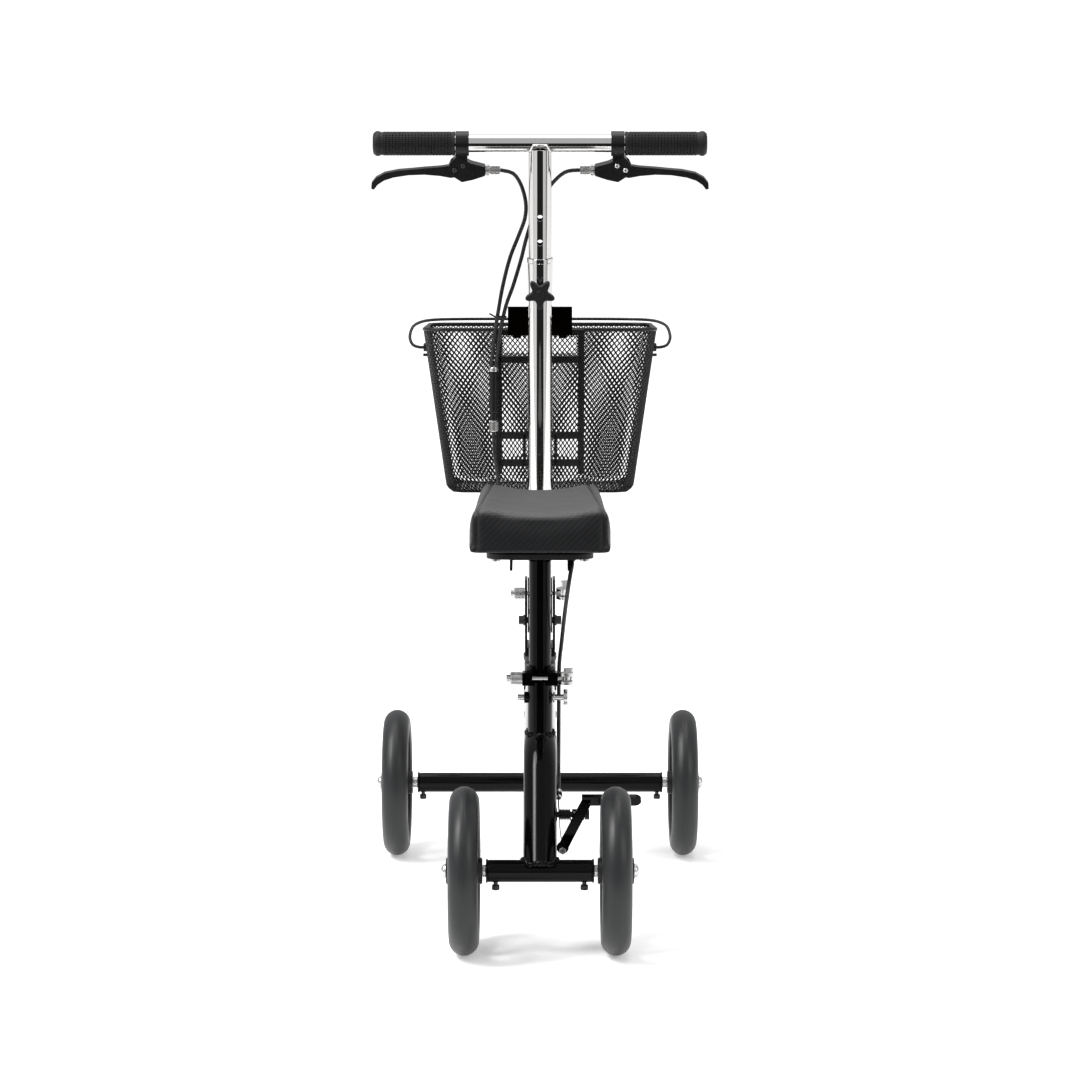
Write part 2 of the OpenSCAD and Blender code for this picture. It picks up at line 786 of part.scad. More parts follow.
module basket_shell() {
    rim = basket_rim_z - rim_wire;
    color("#1a1a1a") difference() {
        hull() {
            basket_slice(basket_floor_z, basket_floor_w, basket_floor_front_y, 7, 0.5);
            basket_slice(basket_floor_z + 8, basket_floor_w + 2, basket_floor_front_y + 1.6, 0, 0.5);
            basket_slice(rim - 0.5, basket_w - 6, basket_front_y, 0, 0.4);
        }
        hull() {
            basket_slice(basket_floor_z + basket_wall, basket_floor_w, basket_floor_front_y, basket_wall + 7, 0.5);
            basket_slice(basket_floor_z + basket_wall + 8, basket_floor_w + 2.4, basket_floor_front_y + 2,
                basket_wall, 0.5);
            basket_slice(rim + 0.5, basket_w - 6, basket_front_y, basket_wall, 1);
        }
    }
}

// The rim wire, the flat bars on the back wall and the lugs that hold the bail
module basket_frame() {
    rim_back = front_y - (basket_rim_z - wheel_r) * tan(lean) + basket_back / cos(lean) + 2;
    rim_l = basket_front_y - rim_back;
    back = basket_back;
    bar = [back - 5.6, back - 0.2];
    color("#141414") {
        translate([0, rim_back + rim_l / 2, basket_rim_z - rim_wire])
            linear_extrude(height = 2 * rim_wire) difference() {
                rounded_rect(basket_w, rim_l + 2 * rim_wire, 28);
                rounded_rect(basket_w - 4 * rim_wire, rim_l - 2 * rim_wire, 22);
            }
        on_column() {
            both_sides() block([mount_x - 4.1, mount_x + 4.1], bar, [408, 594]);
            block([-mount_x - 4, mount_x + 4], [bar[0] - 3, bar[0]], [plate_s[0] - 0.7, plate_s[0] + 7]);
            for (s = [553, 454, 418]) block([-mount_x, mount_x], bar, [s, s + 9]);
            both_sides() block([18, 22], bar, [418, 460]);
        }
        both_sides() translate([0, bail_y, bail_z]) difference() {
            x_rod(5.5, 146.3, 153);
            x_rod(bail_wire + run_gap, 147.5, 160);
        }
    }
}

module basket_bail() {
    r = 34;
    elbow = 12;
    tilt = atan(bail_rise / bail_reach);
    reach = norm([bail_reach, bail_rise]);
    half = concat(arc([bail_x - elbow, elbow], elbow, -90, 0, 7), arc([bail_x - r, reach - r], r, 0, 90, 8));
    other = [for (i = [len(half) - 1:-1:0]) [-half[i][0], half[i][1], 0]];
    color("#141414") translate([0, bail_y, bail_z]) rotate([tilt, 0, 0]) {
        both_sides() x_rod(bail_wire, 148, bail_x - elbow + 0.5);
        swept(concat(half, other), bail_wire);
    }
}

main_tube();
seat_tube();
rear_axle_tube();
head_tube();
headset_bearings();
rear_axle_plugs();
rear_axle_screws();
rear_axle_bolts();
seat_clamp_collar();
seat_clamp_skewer();
brake_bracket();
brake_pivot_bolt();
frame_cable();
at_wheel(-rear_x, rear_y) tyre();  // rear_left_tyre
at_wheel(-rear_x, rear_y) hub();  // rear_left_hub
at_wheel(-rear_x, rear_y) bearings();  // rear_left_bearings
at_wheel(rear_x, rear_y) tyre();  // rear_right_tyre
at_wheel(rear_x, rear_y) hub();  // rear_right_hub
at_wheel(rear_x, rear_y) bearings();  // rear_right_bearings
at_wheel(-front_x, front_y) tyre();  // front_left_tyre
at_wheel(-front_x, front_y) hub();  // front_left_hub
at_wheel(-front_x, front_y) bearings();  // front_left_bearings
at_wheel(front_x, front_y) tyre();  // front_right_tyre
at_wheel(front_x, front_y) hub();  // front_right_hub
at_wheel(front_x, front_y) bearings();  // front_right_bearings
seat_post();
seat_bracket();
pad_board();
knee_pad();
pad_bolts();
seat_clamp_lever();
seat_pin();
front_axle_tube();
steering_spindle();
fold_yoke();
front_axle_plugs();
front_axle_screws();
front_axle_bolts();
fold_bolt();
column_tube();
fold_skewer();
hook_plate();
cable_junction();
column_cable();
fold_lever();
star_knob();
stem_tube();
handlebar();
left_grip();
right_grip();
lever_housings();
lever_fittings();
brake_cables();
left_lever();
right_lever();
brake_arm();
brake_spring();
basket_shell();
basket_frame();
basket_bail();
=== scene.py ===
"""The looks of a knee scooter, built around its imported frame.

Sizes in the tables and in the calls that turn, sleeve and bar pieces are in millimetres.
"""

import math

import bmesh
import bpy
from mathutils import Matrix, Vector


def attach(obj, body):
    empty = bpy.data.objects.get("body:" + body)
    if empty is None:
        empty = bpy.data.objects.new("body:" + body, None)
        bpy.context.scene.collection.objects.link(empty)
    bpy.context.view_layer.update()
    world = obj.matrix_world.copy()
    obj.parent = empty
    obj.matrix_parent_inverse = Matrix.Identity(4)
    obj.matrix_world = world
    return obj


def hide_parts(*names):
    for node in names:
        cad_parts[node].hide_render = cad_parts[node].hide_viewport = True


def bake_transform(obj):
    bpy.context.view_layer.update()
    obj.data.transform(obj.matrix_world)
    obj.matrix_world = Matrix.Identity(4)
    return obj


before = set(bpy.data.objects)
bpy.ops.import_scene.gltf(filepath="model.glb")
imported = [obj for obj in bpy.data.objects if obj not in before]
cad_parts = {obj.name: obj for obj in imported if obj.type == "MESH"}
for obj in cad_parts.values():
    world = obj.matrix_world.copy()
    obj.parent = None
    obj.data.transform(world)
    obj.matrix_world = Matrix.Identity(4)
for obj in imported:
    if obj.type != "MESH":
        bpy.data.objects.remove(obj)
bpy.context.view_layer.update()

MM = 0.001
REAR_AXLE = (-0.350, 0.095)
FRONT_AXLE = (0.250, 0.095)
LEAN = math.radians(8)
COLUMN = Matrix.Translation((0, FRONT_AXLE[0], FRONT_AXLE[1])) @ Matrix.Rotation(LEAN, 4, "X")
BAR_REACH = 0.836
BAR = Matrix.Translation((0, FRONT_AXLE[0] - BAR_REACH * math.sin(LEAN),
    FRONT_AXLE[1] + BAR_REACH * math.cos(LEAN)))
LEVER_PLANE = BAR @ Matrix.Rotation(math.radians(15), 4, "X")
SEAT_Y = -240
JUNCTION = Matrix.Translation((-0.059, 0.186, 0.583))
WHEELS = {
    "rear_left": (-85.5, -350),
    "rear_right": (85.5, -350),
    "front_left": (-187, 250),
    "front_right": (187, 250),
}
LEFT_CABLE = [(-50, 142, 890), (-34, 142, 886), (-24, 144, 872), (-18, 148, 850), (-19, 152, 830),
    (-27, 158, 808), (-38, 162, 780), (-47, 164, 745), (-53, 168, 712), (-58, 176, 680), (-62, 186, 641)]
RIGHT_CABLE = [(50, 142, 890), (36, 142, 889), (26, 147, 884), (14, 156, 872), (6, 163, 860),
    (-2, 166, 846), (-10, 165, 828), (-18, 162, 802), (-24, 160, 778), (-34, 162, 745), (-43, 166, 720),
    (-50, 172, 690), (-54, 180, 662), (-56, 186, 641)]
COLUMN_CABLE = [(-59, 186, 559), (-58, 188, 530), (-54, 194, 500), (-50, 196, 470)]
FRAME_CABLE = [(-49.9, 196, 469.3), (-48.4, 195.8, 459), (-40, 185, 438), (-20, 150, 420), (0, 90, 414),
    (22, 10, 417), (37.4, -66, 425), (37.2, -140, 436), (37.2, -205, 438.2), (37.2, -238, 438.2),
    (36.5, -255, 431), (33.5, -259, 414), (29, -249, 380), (25, -230, 340), (22.2, -220, 310),
    (21.8, -218, 263), (21.8, -213, 232), (21.8, -200, 207), (21.8, -188, 187), (21.8, -190, 170),
    (21.8, -204.6, 158.4)]


# Camera

eye = bpy.data.cameras.new("eye")
eye.lens = 109.531
eye.sensor_width = 36
camera = bpy.data.objects.new("eye", eye)
bpy.context.scene.collection.objects.link(camera)
camera.location = (0, -4.0063, 0.8125)
camera.rotation_euler = (math.radians(90 - 5.3524), 0, 0)
bpy.context.scene.camera = camera


# Modelling


def alone(piece):
    """Selects one piece and nothing else."""
    bpy.ops.object.select_all(action="DESELECT")
    piece.select_set(True)
    bpy.context.view_layer.objects.active = piece


def begin(name):
    """Names the primitive that was just added."""
    piece = bpy.context.object
    piece.name = name
    piece.data.name = name
    return piece


def edit(piece, kind="FACE"):
    alone(piece)
    bpy.ops.object.mode_set(mode="EDIT")
    bpy.ops.mesh.select_mode(type=kind)
    bpy.ops.mesh.select_all(action="DESELECT")


def done():
    bpy.ops.object.mode_set(mode="OBJECT")


def pick_faces(piece, test):
    """Selects the faces whose centre and normal pass a test."""
    mesh = bmesh.from_edit_mesh(piece.data)
    for face in mesh.faces:
        face.select_set(bool(test(face.calc_center_median(), face.normal)))
    bmesh.update_edit_mesh(piece.data)


def pick_edges(piece, test):
    mesh = bmesh.from_edit_mesh(piece.data)
    for edge in mesh.edges:
        edge.select_set(bool(test(edge)))
    bmesh.update_edit_mesh(piece.data)


def merge(gap=0.000004):
    bpy.ops.mesh.select_all(action="SELECT")
    bpy.ops.mesh.remove_doubles(threshold=gap)


def outward():
    bpy.ops.mesh.select_all(action="SELECT")
    bpy.ops.mesh.normals_make_consistent(inside=False)


def settle(piece, place=None):
    """Puts a piece's place and turn into its mesh."""
    alone(piece)
    bpy.context.view_layer.update()
    if place is not None:
        piece.matrix_world = place @ piece.matrix_world
    bpy.ops.object.transform_apply(location=True, rotation=True, scale=True)
    return piece


def modify(piece, kind, **settings):
    """Adds a modifier and applies it."""
    alone(piece)
    modifier = piece.modifiers.new(kind.title(), kind)
    for name, value in settings.items():
        setattr(modifier, name, value)
    bpy.ops.object.modifier_apply(modifier=modifier.name)
    return piece


def soften(piece, width, segments=2, angle=35):
    return modify(piece, "BEVEL", width=width * MM, segments=segments, limit_method="ANGLE",
        angle_limit=math.radians(angle))


def join(name, pieces):
    bpy.ops.object.select_all(action="DESELECT")
    for piece in pieces:
        piece.select_set(True)
    bpy.context.view_layer.objects.active = pieces[0]
    if len(pieces) > 1:
        bpy.ops.object.join()
    return begin(name)


def twin(piece, name, place):
    """A copy with its own mesh, moved to a new place. A mirrored copy gets its normals turned out again."""
    bpy.context.view_layer.update()
    copy = bpy.data.objects.new(name, piece.data.copy())
    bpy.context.scene.collection.objects.link(copy)
    copy.data.transform(place)
    if place.determinant() < 0:
        copy.data.flip_normals()
    return copy


def mirrored(piece, name):
    return twin(piece, name, Matrix.Diagonal((-1, 1, 1, 1)))


def turned(name, outline, steps=48):
    """An outline of (along, radius) points, drawn edge by edge and spun about the X axis."""
    bpy.ops.mesh.primitive_plane_add(size=0.002)
    piece = begin(name)
    edit(piece, "VERT")
    bpy.ops.mesh.select_all(action="SELECT")
    bpy.ops.mesh.merge(type="CENTER")
    bpy.ops.transform.translate(value=(outline[0][0] * MM, 0, outline[0][1] * MM))
    for (x0, r0), (x1, r1) in zip(outline, outline[1:]):
        step = ((x1 - x0) * MM, 0, (r1 - r0) * MM)
        bpy.ops.mesh.extrude_region_move(TRANSFORM_OT_translate={"value": step})
    bpy.ops.mesh.select_all(action="SELECT")
    bpy.ops.mesh.spin(steps=steps, angle=2 * math.pi, center=(0, 0, 0), axis=(1, 0, 0))
    merge()
    outward()
    done()
    return piece


def rod(name, r, x0, x1, chamfer=0.5, steps=32):
    return turned(name, [(x0, 0), (x0, r - chamfer), (x0 + chamfer, r), (x1 - chamfer, r),
        (x1, r - chamfer), (x1, 0)], steps)


def sleeve(name, r, bore, x0, x1, chamfer=0.4, steps=48):
    return turned(name, [(x0, bore), (x0, r - chamfer), (x0 + chamfer, r), (x1 - chamfer, r),
        (x1, r - chamfer), (x1, bore), (x0, bore)], steps)


def blocks(piece, x0, x1, gap, height):
    """Raises each face of a turned piece between x0 and x1, as a moulded or knurled grid."""
    edit(piece)
    pick_faces(piece, lambda c, n: x0 * MM < c.x < x1 * MM and abs(n.x) < 0.3)
    bpy.ops.mesh.inset(thickness=gap * MM, depth=height * MM, use_individual=True)
    done()
    return piece


def hex_socket(piece, x, r, depth):
    """Sinks a six-sided socket into the flat end of a turned piece at x."""
    bpy.ops.mesh.primitive_cylinder_add(vertices=6, radius=r * MM, depth=2 * depth * MM,
        location=(x * MM, 0, 0), rotation=(0, math.pi / 2, 0))
    cutter = settle(begin("socket_cutter"))
    modify(piece, "BOOLEAN", object=cutter, operation="DIFFERENCE", solver="EXACT")
    bpy.data.objects.remove(cutter)
    return piece


def bar(name, x, y, z, edge=0.8, segments=2):
    """A bar between the limits of x, y and z with rounded edges."""
    middle = [(a[0] + a[1]) / 2 * MM for a in (x, y, z)]
    bpy.ops.mesh.primitive_cube_add(size=1, location=middle)
    piece = begin(name)
    piece.scale = [(a[1] - a[0]) * MM for a in (x, y, z)]
    settle(piece)
    return soften(piece, edge, segments)


def bead(v):
    return Vector(v) * MM


def curve_points(route, step, closed=False):
    """A smooth curve through the points of a route, in metres."""
    p = [bead(v) for v in route]
    n = len(p)
    found = []
    for i in range(n if closed else n - 1):
        b, c = p[i], p[(i + 1) % n]
        a = p[(i - 1) % n] if closed or i > 0 else b
        d = p[(i + 2) % n] if closed or i + 2 < n else c
        count = max(1, round((c - b).length / (step * MM)))
        for j in range(count):
            t = j / count
            found.append(0.5 * (2 * b + (c - a) * t + (2 * a - 5 * b + 4 * c - d) * t * t
                + (3 * b - a - 3 * c + d) * t ** 3))
    return found if closed else found + [p[-1]]


def swept(name, path, r, sides=10, closed=False, lumps=None):
    """A round wire along a path, with a UV map that runs round it and along it in metres."""
    n = len(path)
    side = Vector((1, 0.4, 0.2))
    points, lengths, run = [], [], 0.0
    for i, here in enumerate(path):
        ahead = path[(i + 1) % n] if closed or i + 1 < n else here
        behind = path[(i - 1) % n] if closed or i > 0 else here
        along = (ahead - behind).normalized()
        side = (side - along * side.dot(along)).normalized()
        over = along.cross(side)
        size = r * MM * (lumps(i) if lumps else 1)
        for k in range(sides):
            a = 2 * math.pi * k / sides
            points.append(here + size * (math.cos(a) * side + math.sin(a) * over))
        lengths.append(run)
        run += (ahead - here).length
    lengths.append(run)
    faces, marks = [], []
    for i in range(n if closed else n - 1):
        for k in range(sides):
            j, m = (i + 1) % n, (k + 1) % sides
            faces.append((i * sides + k, j * sides + k, j * sides + m, i * sides + m))
            u0, u1 = k / sides, (k + 1) / sides
            marks += [(u0, lengths[i]), (u0, lengths[i + 1]), (u1, lengths[i + 1]), (u1, lengths[i])]
    if not closed:
        faces += [tuple(range(sides)), tuple((n - 1) * sides + k for k in range(sides))]
        marks += [(0, 0)] * sides + [(0, run)] * sides
    mesh = bpy.data.meshes.new(name)
    mesh.from_pydata(points, [], faces)
    layer = mesh.uv_layers.new(name="along")
    for loop, mark in zip(layer.data, marks):
        loop.uv = mark
    piece = bpy.data.objects.new(name, mesh)
    bpy.context.scene.collection.objects.link(piece)
    edit(piece)
    outward()
    done()
    return piece


def copied(name, node):
    """A merged copy of a CAD node's mesh."""
    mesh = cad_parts[node].data.copy()
    mesh.materials.clear()
    piece = bpy.data.objects.new(name, mesh)
    bpy.context.scene.collection.objects.link(piece)
    alone(piece)
    if mesh.has_custom_normals:
        bpy.ops.mesh.customdata_custom_splitnormals_clear()
    edit(piece)
    merge(0.00001)
    bpy.ops.mesh.dissolve_limited(angle_limit=math.radians(0.6))
    done()
    return piece


def fit(piece, finish, body, *nodes, smooth=32):
    """Gives a piece its finish, hangs it on its body and hides the CAD nodes that it stands for."""
    alone(piece)
    bpy.ops.object.shade_smooth_by_angle(angle=math.radians(smooth))
    if body:
        modify(piece, "WEIGHTED_NORMAL", keep_sharp=True)
    piece.data.materials.clear()
    piece.data.materials.append(FINISHES[finish].material)
    if body:
        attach(piece, body)
    if nodes:
        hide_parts(*nodes)
    return piece


# Finishes


class Shade:
    """An output of a finish's nodes, used in plain arithmetic."""

    def __init__(self, finish, socket):
        self.finish = finish
        self.socket = socket

    def maths(self, operation, *values):
        return self.finish.node("ShaderNodeMath", {"operation": operation}, dict(enumerate(values)))

    def __add__(self, other):
        return self.maths("ADD", self, other)

    def __sub__(self, other):
        return self.maths("SUBTRACT", self, other)

    def __rsub__(self, other):
        return self.maths("SUBTRACT", other, self)

    def __mul__(self, other):
        return self.maths("MULTIPLY", self, other)

    def __truediv__(self, other):
        return self.maths("DIVIDE", self, other)

    def __mod__(self, other):
        return self.maths("FLOORED_MODULO", self, other)

    def __pow__(self, other):
        return self.maths("POWER", self, other)

    def __lt__(self, other):
        return self.maths("LESS_THAN", self, other)

    def __gt__(self, other):
        return self.maths("GREATER_THAN", self, other)

    __radd__ = __add__
    __rmul__ = __mul__

    def out(self, name):
        return Shade(self.finish, self.socket.node.outputs[name])


class Finish:
    """A material and the nodes that make its surface."""

    def __init__(self, name):
        self.material = bpy.data.materials.new(name)
        self.material.use_nodes = True
        self.tree = self.material.node_tree
        self.shader = self.tree.nodes["Principled BSDF"]

    def node(self, kind, settings=None, inputs=None, output=0):
        node = self.tree.nodes.new(kind)
        for name, value in (settings or {}).items():
            if name == "stops":
                for element, (place, shade) in zip(node.color_ramp.elements, value):
                    element.position = place
                    element.color = shade
            else:
                setattr(node, name, value)
        for name, value in (inputs or {}).items():
            self.feed(node.inputs[name], value)
        return Shade(self, node.outputs[output])

    def feed(self, socket, value):
        if isinstance(value, Shade):
            self.tree.links.new(value.socket, socket)
        else:
            socket.default_value = value

    def place(self, kind="Object"):
        return self.node("ShaderNodeTexCoord", output=kind)

    def noise(self, scale, detail=2, where=None):
        return self.node("ShaderNodeTexNoise", {},
            {"Vector": where or self.place(), "Scale": scale, "Detail": detail, "Roughness": 0.55})

    def mix(self, mask, first, second):
        return self.node("ShaderNodeMix", {"data_type": "RGBA"}, {0: mask, 6: first, 7: second}, output=2)

    def bump(self, height, strength, depth):
        return self.node("ShaderNodeBump", {}, {"Height": height, "Strength": strength, "Distance": depth})

    def surface(self, **sockets):
        for name, value in sockets.items():
            self.feed(self.shader.inputs[name.replace("_", " ")], value)
        return self


def grey(value, warmth=0.0):
    return (value * (1 + warmth), value, value * (1 - warmth), 1)


def lacquer(name, base, peel, roughness=0.09):
    """Glossy black paint with a faint orange peel."""
    f = Finish(name)
    dust = f.noise(28, 4)
    return f.surface(
        Base_Color=f.mix(dust, grey(base), grey(base * 2.2)),
        Roughness=roughness + dust * 0.08,
        Specular_IOR_Level=0.13,
        Normal=f.bump(f.noise(520), peel, 0.0004),
    )


def plating(name, base, low, spread, scale, warmth=0.0, grain=0.05):
    """Bare or plated metal whose gloss varies along it."""
    f = Finish(name)
    cloud = f.noise(scale, 4)
    return f.surface(
        Base_Color=f.mix(cloud, grey(base * 0.92, warmth), grey(base, warmth)),
        Metallic=1.0,
        Roughness=low + cloud * spread,
        Normal=f.bump(f.noise(1400), grain, 0.0002),
    )


def moulding(name, base, low, spread, grain, depth, scale=1900, warmth=0.0, gloss=0.3):
    """Moulded plastic or rubber with a fine grain and rubbed patches."""
    f = Finish(name)
    rub = f.noise(45, 5)
    skin = f.noise(scale, 3)
    return f.surface(
        Base_Color=f.mix(rub, grey(base, warmth), grey(base * 1.35, warmth)),
        Roughness=low + rub * spread,
        Specular_IOR_Level=gloss,
        Normal=f.bump(skin, grain, depth),
    )


def pad_vinyl():
    """Vinyl with a pressed twill: bold on the side panels and fine on the top panel; where the cover faces up
    it is painted lighter and the sides are painted darker, as painted light and shade.
    """
    f = Finish("pad_vinyl")
    uv = f.node("ShaderNodeSeparateXYZ", {}, {0: f.place("UV")})
    cell = 0.0014
    u, v = uv / cell, uv.out("Y") / cell
    column, row = u.maths("FLOOR", u), v.maths("FLOOR", v)
    over = ((column - row) % 5) < 2.5
    across, along = u.maths("FRACT", u), v.maths("FRACT", v)
    hump_u = across * (1 - across) * 4
    hump_v = along * (1 - along) * 4
    weave = over * (0.45 + hump_u * 0.55) + (1 - over) * (0.1 + hump_v * 0.35)
    fine = (v * 0.5).maths("FRACT", v * 0.5)
    rib = fine * (1 - fine) * 4
    # This mask follows which way the cover faces, not where its seams run: where it faces up the cover gets
    # the fine rib and is painted lighter, as painted light.
    top = f.node("ShaderNodeAttribute", {"attribute_name": "top_rib_and_painted_light"}, output="Fac")
    seam = f.node("ShaderNodeAttribute", {"attribute_name": "seam"}, output="Fac")
    rub = f.noise(30, 4)
    height = weave * (1 - top) + (rib * 0.5 + weave * 0.35) * top - seam * 2.0
    # The sides are painted far darker than the top, as painted shade; the twill and the rib are the vinyl's
    # own pattern.
    side_twill_painted_shade = f.mix(weave, (0.0008, 0.0009, 0.0011, 1), (0.0085, 0.0092, 0.0102, 1))
    top_rib_painted_light = f.mix(rib * 0.7 + weave * 0.3, (0.034, 0.0335, 0.0335, 1), (0.084, 0.0825, 0.082, 1))
    colour = f.mix(top, side_twill_painted_shade, top_rib_painted_light)
    colour = f.mix(seam * 0.85, colour, (0.006, 0.006, 0.007, 1))
    return f.surface(
        Base_Color=colour,
        Roughness=0.44 + rub * 0.12 - weave * 0.06,
        Specular_IOR_Level=0.22,
        Normal=f.bump(height, 0.45, 0.0006),
    )


def cable_sheath():
    """Black sheath with the lay of its liner showing faintly as a spiral ridge, whose crests are painted
    lighter as a painted sheen.
    """
    f = Finish("cable_sheath")
    uv = f.node("ShaderNodeSeparateXYZ", {}, {0: f.place("UV")})
    turn = uv + uv.out("Y") * 110
    lay = turn.maths("FRACT", turn)
    spiral_ridge_and_sheen = lay * (1 - lay) * 4
    scuff = f.noise(80, 3)
    return f.surface(
        # The spiral's crests are painted lighter, a painted sheen; the bump gives the ridge its real relief.
        Base_Color=f.mix(spiral_ridge_and_sheen, grey(0.004), grey(0.011)),
        Roughness=0.26 + scuff * 0.16,
        Specular_IOR_Level=0.4,
        Normal=f.bump(spiral_ridge_and_sheen, 0.22, 0.0003),
    )


FINISHES = {
    "frame_black": lacquer("frame_black", 0.0008, 0.05),
    "chrome": plating("chrome", 0.66, 0.035, 0.03, 22, warmth=0.012, grain=0.006),
    "zinc_steel": plating("zinc_steel", 0.60, 0.20, 0.16, 160, warmth=0.01, grain=0.05),
    "dark_steel": plating("dark_steel", 0.055, 0.34, 0.18, 120, grain=0.12),
    "tyre_rubber": moulding("tyre_rubber", 0.0085, 0.36, 0.14, 0.10, 0.0003, warmth=-0.07, gloss=0.42),
    "hub_plastic": moulding("hub_plastic", 0.006, 0.34, 0.14, 0.12, 0.0003),
    "grip_rubber": moulding("grip_rubber", 0.0055, 0.48, 0.18, 0.16, 0.0004),
    "lever_plastic": moulding("lever_plastic", 0.0035, 0.28, 0.12, 0.12, 0.0003),
    "knob_plastic": moulding("knob_plastic", 0.006, 0.42, 0.14, 0.20, 0.0004, scale=1300),
    "pad_vinyl": pad_vinyl(),
    "board_plastic": moulding("board_plastic", 0.005, 0.44, 0.16, 0.25, 0.0005, scale=900),
    "cable_sheath": cable_sheath(),
    "basket_black": moulding("basket_black", 0.0035, 0.30, 0.16, 0.22, 0.0004, scale=1100),
    "plate_brown": plating("plate_brown", 0.011, 0.10, 0.10, 60, warmth=0.45, grain=0.02),
}


# Wheels


def tyre():
    """A solid tyre: a flat crown with a thin parting line, round shoulders and a bead ring on each side."""
    side = [(12.6, 71.6), (14.6, 72.0), (15.8, 73.4), (16.3, 75.2), (15.9, 76.4), (16.4, 77.3), (16.9, 79.2)]
    shoulder = [math.radians(d) for d in range(12, 73, 7)]
    side += [(17 * math.cos(a), 77.9 + 17 * math.sin(a)) for a in shoulder]
    side += [(4.0, 94.6), (2.2, 94.85), (0.5, 94.9), (0.28, 95.1)]
    outline = [(-x, r) for x, r in side] + [(x, r) for x, r in reversed(side)]
    return turned("tyre", outline + [outline[0]], 112)


def hub():
    """The moulded wheel centre: a barrel, five ribbed spokes and the rim that holds the tyre."""
    barrel = turned("barrel", [(-20.5, 11), (-20.5, 14), (-19.7, 14.8), (-8, 16), (8, 16), (19.7, 14.8),
        (20.5, 14), (20.5, 11), (13.5, 11), (13.5, 8), (-13.5, 8), (-13.5, 11), (-20.5, 11)], 48)
    rim = turned("rim", [(-12.3, 71.9), (-12.3, 67.6), (-11, 66.4), (-3, 65.6), (-2, 60.5), (2, 60.5),
        (3, 65.6), (11, 66.4), (12.3, 67.6), (12.3, 71.9), (-12.3, 71.9)], 96)
    bpy.ops.mesh.primitive_cube_add(size=1, location=(0, 0, 0.0385))
    spoke = begin("spoke")
    spoke.scale = (0.014, 0.017, 0.055)
    settle(spoke)
    edit(spoke)
    pick_faces(spoke, lambda c, n: n.z > 0.9)
    bpy.ops.transform.resize(value=(0.72, 0.76, 1))
    pick_faces(spoke, lambda c, n: abs(n.x) > 0.9)
    bpy.ops.mesh.inset(thickness=0.0026, depth=-0.0042, use_individual=True)
    done()
    soften(spoke, 0.7)
    spokes = [twin(spoke, "spoke", Matrix.Rotation(math.radians(72 * k + 18), 4, "X")) for k in range(5)]
    bpy.data.objects.remove(spoke)
    return join("hub", [barrel, rim] + spokes)


def bearings():
    shield = sleeve("shield", 10.9, 5.2, 13.6, 20.1, 0.5)
    race = sleeve("race", 5.6, 4.1, 13.4, 20.4, 0.3)
    pair = [shield, race, mirrored(shield, "shield"), mirrored(race, "race")]
    return join("bearings", pair)


def wheel_bolt(half, wheel_x):
    """A domed bolt with a washer and a socket, and the spacer inboard of the wheel."""
    end = wheel_x + 20.9
    quarter = [math.radians(d) for d in range(0, 81, 10)]
    dome = [(end + 0.9 + 4.8 * math.sin(a), 7.6 * math.cos(a)) for a in quarter]
    bolt = turned("bolt", [(half - 24, 0), (half - 24, 3.4), (half - 23.4, 4), (end, 4), (end, 8.2),
        (end + 0.3, 8.4), (end + 0.8, 8.2), (end + 0.8, 7.6)] + dome + [(end + 5.7, 0)], 40)
    hex_socket(bolt, end + 5.7, 2.4, 2.6)
    spacer = sleeve("spacer", 7, 4.1, half + 3.1, wheel_x - 20.9, 0.5)
    return join("wheel_bolt", [bolt, spacer])


def wheels():
    parts = {"tyre": (tyre(), "tyre_rubber"), "hub": (hub(), "hub_plastic"),
        "bearings": (bearings(), "zinc_steel")}
    for wheel, (x, y) in WHEELS.items():
        place = Matrix.Translation((x * MM, y * MM, 0.095))
        for part, (model, finish) in parts.items():
            piece = twin(model, f"{wheel}_wheel_{part}", place)
            fit(piece, finish, wheel + "_wheel", f"{wheel}_{part}")
    for model, _ in parts.values():
        bpy.data.objects.remove(model)


def axle(end, axle_y, body, half, screw_x, wheel_x):
    """The tube across the frame with its end rings, grub screws and wheel bolts."""
    place = Matrix.Translation((0, axle_y * MM, 0.095))
    tube = soften(copied(end + "_cross_tube", end + "_axle_tube"), 0.5)
    fit(tube, "frame_black", body, end + "_axle_tube")
    plug = turned("plug", [(half - 26, 4.1), (half - 26, 10.6), (half, 10.6), (half, 12.6),
        (half + 0.5, 12.4), (half + 0.9, 13.3), (half + 1.2, 13.6),
        (half + 2.4, 13.6), (half + 3, 12.9), (half + 3, 4.1), (half - 26, 4.1)], 56)
    screw = turned("screw", [(0, 0), (0, 3.7), (0.5, 4.3), (5.4, 4.3), (6, 3.8), (6, 2.5),
        (18, 2.5), (18, 0)], 32)
    hex_socket(screw, 0, 2.2, 3)
    blocks(screw, 0.6, 5.3, 0.12, 0.1)
    settle(screw, Matrix.Translation((screw_x * MM, 0, -0.0217)) @ Matrix.Rotation(-math.pi / 2, 4, "Y"))
    bolt = wheel_bolt(half, wheel_x)
    for part, model, finish in (("plugs", plug, "frame_black"), ("screws", screw, "dark_steel"),
            ("bolts", bolt, "zinc_steel")):
        both = settle(join(f"{end}_{part}", [model, mirrored(model, part)]), place)
        fit(both, finish, body, f"{end}_axle_{part}")


# Frame


def weld(name, path, body, r=2.1):
    """A bead of weld along a path, with the ripples that the torch leaves."""
    piece = swept(name, path, r, 10, closed=True,
        lumps=lambda i: 1 + 0.24 * math.sin(i * 1.9) + 0.14 * math.sin(i * 0.61))
    return fit(piece, "frame_black", body, smooth=60)


